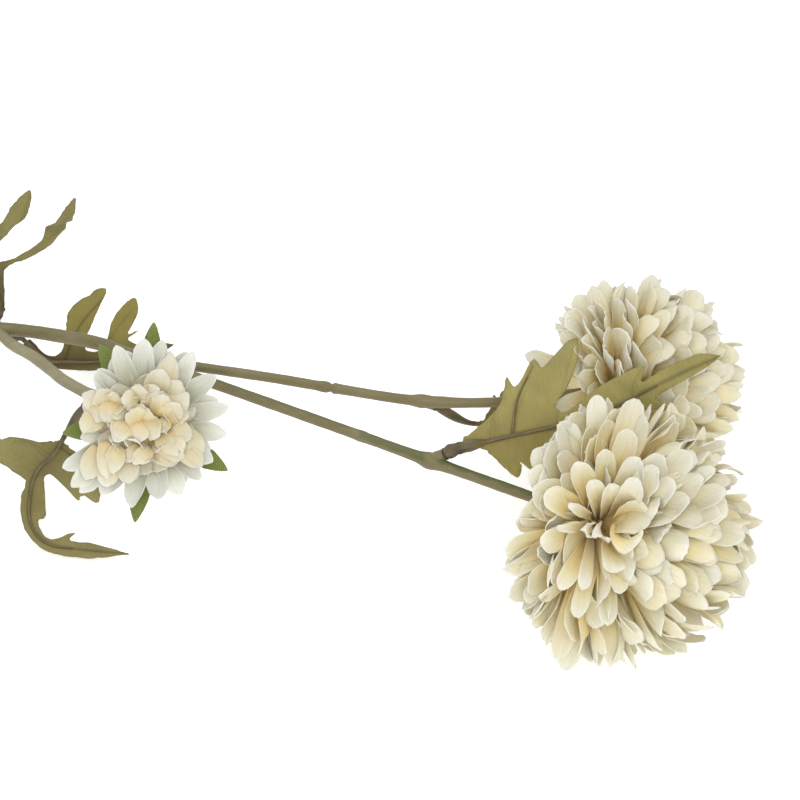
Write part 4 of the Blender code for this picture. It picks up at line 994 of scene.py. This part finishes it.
def onLeaf(leaf, flat, extra=0.0):
    # The flat blade carried onto its midrib, which may turn towards its tip: edges droop with
    # the square of the distance out and ripple slowly along the leaf
    x, y = flat.T
    path, length = leaf["path"], leaf["length"]
    share = np.clip(x / length, 0, 1)
    low = np.minimum((share * (len(path) - 1)).astype(int), len(path) - 2)
    t = (share * (len(path) - 1) - low)[:, None]
    place, along = (mixed(a[low], a[low + 1], t)
                    for a in (path, unit(np.gradient(path, axis=0))))
    along = unit(along)
    normal = unit(facing - (along @ facing)[:, None] * along)
    turn = np.radians(leaf["turn"] * share ** 2)[:, None]
    normal = np.cos(turn) * normal + np.sin(turn) * np.cross(along, normal)
    place = place + (x - np.clip(x, 0, length))[:, None] * along
    out = np.abs(y)
    wave = np.sin(0.3 * x + np.where(y > 0, 1.1, 2.9)) * np.minimum(out / 12, 1.5)
    lift = -leaf["droop"] * out ** 2 / 30 + leaf["ripple"] * wave + extra
    spot = place + y[:, None] * np.cross(normal, along) + lift[:, None] * normal
    spot[:, 2] = np.maximum(spot[:, 2], leafShape["lowest"])
    return spot, normal


def veinLines(leaf):
    # The midrib and the side veins, which leave it steeply and bend towards the tip
    lines = [np.stack([np.linspace(0, leaf["length"] - 1, 60), np.zeros(60)], -1)]
    for start, x, y in leaf["veins"]:
        middle = (start + 0.40 * (x - start), 0.56 * y)
        lines.append(curveThrough(((start, 0), middle, (x, y)), int(abs(y)) + 6))
    return lines


def cutBlade(leaf, lines):
    # Flat points and triangles of the cut cloth: its frayed outline, the veins with a line
    # close on both sides of each, and a loose grid between them
    rng = np.random.default_rng(leaf["seed"])
    left = np.array(leaf["left"]) * leaf["trim"]
    right = np.array(leaf["right"])[::-1] * (leaf["trim"], -leaf["trim"])
    foot = np.array([min(left[0, 0], right[-1, 0]) - 1.0, 0.0])
    tip = np.array([leaf["length"], 0.0])
    ring = np.vstack([outlineThrough(np.vstack(side))[:-1]
                      for side in ((foot, left, tip), (tip, right, foot))])
    ring = ring + rng.normal(0, leafShape["fray"], ring.shape) * (1 + 1.5 * (ring[:, :1] < 4))
    veins = np.vstack(lines)
    beside = [line + shift * np.gradient(line, axis=0)[:, ::-1] * (1, -1)
              for line in lines for shift in (0.8, -0.8)]
    step = leafShape["gridMm"]
    low, high = ring.min(axis=0), ring.max(axis=0)
    gx, gy = np.meshgrid(*(np.arange(low[k], high[k], step) for k in range(2)))
    grid = np.stack([gx.ravel(), gy.ravel()], -1) + rng.uniform(-0.3, 0.3, (gx.size, 2)) * step
    grid = grid[gapsTo(grid, ring).min(axis=1) > 0.45 * step]
    grid = grid[gapsTo(grid, veins).min(axis=1) > 1.1]
    inner = np.vstack([grid, veins] + beside)
    inner = inner[isInside(inner, ring) & (gapsTo(inner, ring).min(axis=1) > 0.3)]
    spots = [Vector(spot) for spot in np.vstack([ring, inner])]
    cut = delaunay_2d_cdt(spots, [], [tuple(range(len(ring)))], 1, 0.001)
    flat = np.array([tuple(v) for v in cut[0]])
    triangles = np.array([tuple(f) for f in cut[2]])
    a, b, c = (flat[triangles[:, k]] for k in range(3))
    turned = (b - a)[:, 0] * (c - a)[:, 1] - (b - a)[:, 1] * (c - a)[:, 0] < 0
    triangles[turned] = triangles[turned][:, ::-1]
    return flat, triangles


def buildBlade(leaf):
    # Both faces lie half the thickness off the puckered middle surface, joined round the edge
    shape, lines = leafShape, veinLines(leaf)
    flat, triangles = cutBlade(leaf, lines)
    count = len(flat)
    gaps = gapsTo(flat, np.vstack(lines))
    strength = np.concatenate([np.full(len(line), 1.0 if k < 2 else shape["sideVeins"])
                               for k, line in enumerate(lines)])
    nearest = gaps.min(axis=1)
    vein = bell(nearest, shape["veinWidth"]) * strength[gaps.argmin(axis=1)]
    pucker = np.sin(0.8 * flat[:, 0] + 0.5 * flat[:, 1]) * smoothStep(0.5, 4, nearest)
    middle, _ = onLeaf(leaf, flat, shape["pucker"] * pucker - shape["veinDepth"] * vein)
    a, b, c = (middle[triangles[:, k]] for k in range(3))
    area, normal = np.cross(b - a, c - a), np.zeros_like(middle)
    for k in range(3):
        np.add.at(normal, triangles[:, k], area)
    off = 0.5 * shape["thickness"] * unit(normal)
    points = np.vstack([middle + off, middle - off])
    points[:, 2] = np.maximum(points[:, 2], 0.1)
    edges = np.vstack([triangles[:, pair] for pair in ([0, 1], [1, 2], [2, 0])])
    isOpen = ~np.isin(edges[:, 0] * count + edges[:, 1], edges[:, 1] * count + edges[:, 0])
    start, end = edges[isOpen].T
    rims = np.stack([end, start, start + count, end + count], -1)
    # The dye darkens from the lobes towards the midrib and the foot: painted shade
    out = smoothStep(2, 20, np.abs(flat[:, 1]) + 0.18 * np.clip(flat[:, 0], 0, 60))[:, None]
    cloud = np.sin(0.35 * flat[:, 0] + 1.3) * np.sin(0.45 * flat[:, 1] + 0.7)
    # Darker along the veins: painted shade in the grooves; the cloud is an uneven tone
    shade = 1 + shape["cloudTone"] * cloud - shape["paintedVeinShade"] * vein
    dye = mixed(np.array(leaf["near"]), np.array(leaf["far"]), out) * shade[:, None]
    shell = {"points": points, "uv": np.vstack([flat, flat + (0, 200)]),
             "dye": np.vstack([dye, dye]),
             "faces": [(triangles, True), (triangles[:, ::-1] + count, True), (rims, False)]}
    addPiece(leaf["name"] + "_cloth", [shell], leafCloth,
             leaf["name"] + "_blade")


stalkLook = {
    "darkJointsAndShade": np.array((0.045, 0.032, 0.016)), "brown": np.array((0.115, 0.092, 0.048)),
    "rib": np.array((0.150, 0.120, 0.052)), "ribRadius": 0.85, "veinRadius": 0.62, "swell": 0.30,
    "ringRadii": (1.12, 1.14, 0.90), "sides": 16, "veinSides": 10,
}


def stalkDye(ringAt):
    # Brown, paler on the rib, dark in the ring and at the blade's foot, and darker down one side as
    # painted shade
    def dyeOf(points, reach, angle):
        look = stalkLook
        onRib = smoothStep(ringAt - 3, ringAt + 6, reach)[..., None]
        dye = mixed(look["brown"], look["rib"], onRib)
        darkJointsAndShade = bell(reach - 0.5, 0.45) + 0.8 * bell(reach - ringAt, 1.2)
        # Painted shade down one side of the stalk
        darkJointsAndShade = darkJointsAndShade + 0.45 * smoothStep(0.0, 0.9, np.sin(angle + 0.5 * np.sin(0.9 * reach)))
        dye = mixed(dye, look["darkJointsAndShade"], 0.75 * np.clip(darkJointsAndShade, 0, 1)[..., None])
        return dye * (1 + 0.16 * np.sin(3.1 * angle + 0.4 * reach)[..., None])
    return dyeOf


def stubOf(leaf):
    # The stem node that the leaf leaves, and the way it heads
    node = np.array(leaf["node"], float)
    return node, unit(np.array(leaf["way"], float) - node)


def bezier(a, b, c, d, count):
    t = np.linspace(0, 1, count)[:, None]
    return (1 - t) ** 3 * a + 3 * t * (1 - t) ** 2 * b + 3 * t ** 2 * (1 - t) * c + t ** 3 * d


def buildStalk(leaf):
    # A swollen leaf stalk that plugs onto its stub with a dark ring, and runs out along the
    # camera side of the blade as a tapering rib
    node, heading = stubOf(leaf)
    start = node + (leaf["stub"] + 0.3) * heading
    x = np.linspace(leaf["ribStart"], leafShape["ribReach"] * leaf["length"], 40)
    width = stalkLook["ribRadius"] * (1.15 - 0.85 * (x - x[0]) / (x[-1] - x[0]))
    width = width + leaf.get("thickFoot", 0.0) * (1 - smoothStep(5.0, 11.0, x - x[0]))
    surface, normal = onLeaf(leaf, np.stack([x, 0 * x], -1))
    ribbed = surface + normal * (0.22 + 0.55 * width)[:, None]
    stretch = 0.35 * np.linalg.norm(ribbed[0] - start)
    arrival = unit(ribbed[1] - ribbed[0]) * stretch
    lead = bezier(start, start + heading * stretch, ribbed[0] - arrival, ribbed[0], 20)[:-1]
    part = np.linspace(0, 1, len(lead))
    thick = leaf["radius"] + (width[0] - leaf["radius"]) * part ** 3
    swell = np.sin(math.pi * np.clip(part * 1.1, 0, 1)) ** 1.5
    thick = thick * (1 + stalkLook["swell"] * swell)
    thick[:3] *= stalkLook["ringRadii"]
    radius = np.concatenate([thick, width * (1 + 0.05 * np.sin(1.7 * x))])[:, None]
    radius = radius * (1 + 0.04 * np.sin(3 * fullTurn(stalkLook["sides"]) + 0.5))
    ringAt = lengthOf(np.vstack([lead, ribbed[:1]]))
    shells = [closedTube(np.vstack([lead, ribbed]), radius, stalkDye(ringAt), heading)]
    if leaf["name"] == "front_leaf":        # its first side vein is moulded too
        flat = veinLines(leaf)[1][:-4]
        surface, normal = onLeaf(leaf, flat)
        thin = stalkLook["veinRadius"] * (1 - 0.6 * np.linspace(0, 1, len(flat)))
        shells.append(closedTube(surface + normal * (0.18 + 0.4 * thin)[:, None],
                                 thin[:, None] * np.ones(stalkLook["veinSides"]), stalkDye(-9.0)))
    addPiece(leaf["name"] + "_rib", shells, stalkPlastic,
             leaf["name"] + "_stalk")


for leaf in leaves:
    buildBlade(leaf)
    buildStalk(leaf)
print("leaves made")


# Stem

# shade and lowShade paint shade on the stems' lower side
stemLook = {
    "khaki": np.array((0.19, 0.162, 0.074)), "pale": np.array((0.32, 0.29, 0.175)),
    "shade": np.array((0.130, 0.102, 0.050)), "green": np.array((0.105, 0.120, 0.042)),
    "pink": np.array((0.275, 0.205, 0.155)), "lowShade": 0.42, "sides": 28, "seam": 0.10,
    "mainRadius": 3.1, "branchRadius": 2.0, "lowerRadius": 2.2,
}
# Points of the main stem with the upper branch, then of the two other branches, and their
# swells: place, height and half width, for a node, or for a notch where the height is below 0
mainPoints = (
    (-500, 38, 3.1), (-430, 34, 3.7), (-350, 28, 6.5), (-270, 22, 12.5), (-210, 18, 18.5), mainFork,
    (-147, 10.8, 27.5), (-132.7, 5.3, 30.0), (-116.2, -2.8, 33.5), upperFork, (-88, -16.8, 36.7),
    (-74.6, -19.7, 37), (-49.5, -25.9, 38), (-25.4, -32.6, 39), nodeA, (37.7, -41.1, 40.0),
    backEnd - 12 * backBloom["axis"], backEnd)
mainSwells = (
    (mainFork, 0.7, 5.0), (upperFork, 0.8, 6.0), (nodeA, 0.75, 3.4),
    ((-25.6, -32.5, 39), -0.55, 0.55), ((-24.2, -32.9, 39), 0.28, 1.2),
    ((-28.5, -31.8, 38.9), 0.30, 2.4), ((15, -41, 40), 0.35, 5.0), ((-350, 28, 6.5), 0.5, 3.0),
    ((-230, 19, 16.6), 0.45, 3.0), ((-493, 37.6, 3.1), -0.3, 1.0))
branchPoints = (
    np.array(upperFork) - (7.0, -3.0, 1.5), upperFork, (-88, -20, 37), (-70.4, -29.4, 38),
    (-25.1, -54.2, 40.5), nodeB, frontEnd - 14 * frontBloom["axis"], frontEnd)
branchSwells = ((nodeB, 0.9, 3.6), (nodeB, 0.35, 7.0), ((-14, -60, 41), 0.22, 1.6))
lowerPoints = (
    np.array(mainFork) - (8.0, -3.0, 1.5), mainFork, (-150.9, 2.3, 28), (-142.3, -7.9, 32),
    (-133.7, -19.8, 36), (-127.4, -28.8, 39), nodeL, (-107, -47.0, 41.6), (-99.0, -52.5, 42.2),
    (-94.4, -56.7, 44.6), bloomletEnd - 12 * facing, bloomletEnd - 6 * facing, bloomletEnd)


def stemDye(paleShare, greens=(), pinks=()):
    # Khaki, with painted shade that leaves it paler on top and darker below, with stretches of
    #     # green or pinkish plastic: start and end along x, the side of the stem and the strength
    def stretch(x, start, end, soft):
        return smoothStep(start - soft, start, x) * (1 - smoothStep(end, end + soft, x))

    def dyeOf(points, reach, angle):
        look, x = stemLook, points[..., 0]
        streak = 0.16 * np.sin(0.21 * reach + 1.0) * np.sin(0.047 * reach)
        dye = mixed(look["khaki"], look["pale"], np.clip(paleShare + streak, 0, 1)[..., None])
        for start, end, side, strength in pinks:
            at = stretch(x, start, end, 3.0) * smoothStep(-0.2, 0.5, np.sin(angle - side))
            dye = mixed(dye, look["pink"], strength * at[..., None])
        # Painted shade: the lower side of the stem darker
        low = smoothStep(-0.5, 1.0, np.sin(angle))[..., None]
        dye = mixed(dye, look["shade"], look["lowShade"] * low)
        for start, end, side, strength in greens:
            near = np.cos(angle - side) - 0.12 * np.sin(0.7 * reach)
            at = stretch(x, start, end, 2.5) * smoothStep(0.55, 0.85, near)
            dye = mixed(dye, look["green"], strength * at[..., None])
        return dye
    return dyeOf


def stemTube(path, radius, swells, dyeOf):
    # A slightly uneven tube with its swells, and a faint mould seam along one side
    reach = distances(path)
    for place, height, halfWidth in swells:
        at = reach[np.argmin(np.linalg.norm(path - np.array(place, float), axis=1))]
        radius = radius + height * bell(reach - at, halfWidth)
    radius = radius * (1 + 0.015 * np.sin(0.31 * reach) + 0.012 * np.sin(0.83 * reach + 2))
    seam = stemLook["seam"] * bell(np.sin(fullTurn(stemLook["sides"]) - 1.25), 0.16)
    return closedTube(path, radius[:, None] + seam, dyeOf)


def buildStem():
    look = stemLook
    main, branch, lower = (curveThrough(*given) for given in (
        (mainPoints, 420), (branchPoints, 240), (lowerPoints, 150)))
    x = main[:, 0]
    thick = look["mainRadius"] - 0.5 * smoothStep(-172, -160, x) - 0.7 * smoothStep(-112, -98, x)
    shells = [stemTube(main, thick, mainSwells, stemDye(0.06, greens=((-150, -112, 5.6, 0.25),)))]
    dyeOf = stemDye(0.02, greens=((-14, 8, 5.9, 0.75), (-72, -20, 5.25, 0.5), (15, 52, 5.3, 1.0)),
                    pinks=((-60, 4, 1.0, 0.3), (8, 60, 0.9, 1.0)))
    shells.append(stemTube(branch, look["branchRadius"], branchSwells, dyeOf))
    thick = look["lowerRadius"] - 0.2 * smoothStep(-101, -96, lower[:, 0])
    shells.append(stemTube(lower, thick, ((nodeL, 0.6, 3.0),), stemDye(0.75)))
    part = np.linspace(0, 1, 9)
    for leaf in leaves:
        node, heading = stubOf(leaf)
        thick = leaf["radius"] * (1.15 + 0.1 * np.sin(math.pi * part) - 0.12 * part)
        path = node + (leaf["stub"] * part)[:, None] * heading
        shells.append(stemTube(path, thick, (), stemDye(0.0, pinks=((-200, 60, 0.5, 0.4),))))
    addPiece("stem_branches", shells, stemPlastic, "stem")


buildStem()
print("stem made")


# Camera, light and table

studio = {
    "aim": (0.18, 0.0, 0.04), "worldStrength": 0.68,
    "lights": {                 # place, size and power
        "key_light": ((-0.9, 1.1, 2.2), 1.3, 14.0),
        "fill_light": ((1.4, -1.6, 1.8), 1.6, 6.0),
        "front_light": ((0.25, -1.35, 1.45), 1.0, 12.0),
    },
    "tableTone": 0.88, "tableGlow": 0.45, "tableReach": 4.0, "tableTop": -0.0002,
}


def setCamera():
    data = bpy.data.cameras.new("photo_camera")
    data.sensor_width = photoCamera["sensor"]
    focal = photoCamera["pixelsPerMm"] * photoCamera["distance"]
    data.lens = focal * photoCamera["sensor"] / photoCamera["picture"]
    data.clip_start = photoCamera["nearest"]
    camera = addToScene("photo_camera", data)
    spot = photoCamera["aim"] + photoCamera["distance"] * facing + layoutShift
    camera.location = Vector(spot * mm)
    camera.rotation_euler = (math.radians(photoCamera["lean"]), 0, 0)
    bpy.context.scene.camera = camera


def lightStudio():
    world = bpy.data.worlds.new("studio")
    bpy.context.scene.world = world
    world.use_nodes = True
    fill(world.node_tree.nodes["Background"], {
        "Color": (1.0, 1.0, 1.0, 1), "Strength": studio["worldStrength"]})
    for name, (spot, size, power) in studio["lights"].items():
        data = bpy.data.lights.new(name, "AREA")
        data.shape = "DISK"
        data.size = size
        data.energy = power
        light = addToScene(name, data)
        light.location = spot
        light.rotation_mode = "QUATERNION"
        light.rotation_quaternion = (Vector(studio["aim"]) - Vector(spot)).to_track_quat("-Z", "Y")
    bpy.context.scene.view_settings.view_transform = "Standard"


def makeTable():
    mesh = bpy.data.meshes.new("table")
    far, top, tone = studio["tableReach"], studio["tableTop"], studio["tableTone"]
    corners = [(x * far, y * far, top) for x, y in ((-1, -1), (1, -1), (1, 1), (-1, 1))]
    mesh.from_pydata(corners, [], [(0, 1, 2, 3)])
    material, shader = startMaterial("pale_table", 0.9, 0.1)
    fill(shader, {"Base Color": (tone, tone, tone, 1), "Emission Color": (1, 1, 1, 1),
                  "Emission Strength": studio["tableGlow"]})
    mesh.materials.append(material)
    table = addToScene("table", mesh)


setCamera()
lightStudio()
makeTable()
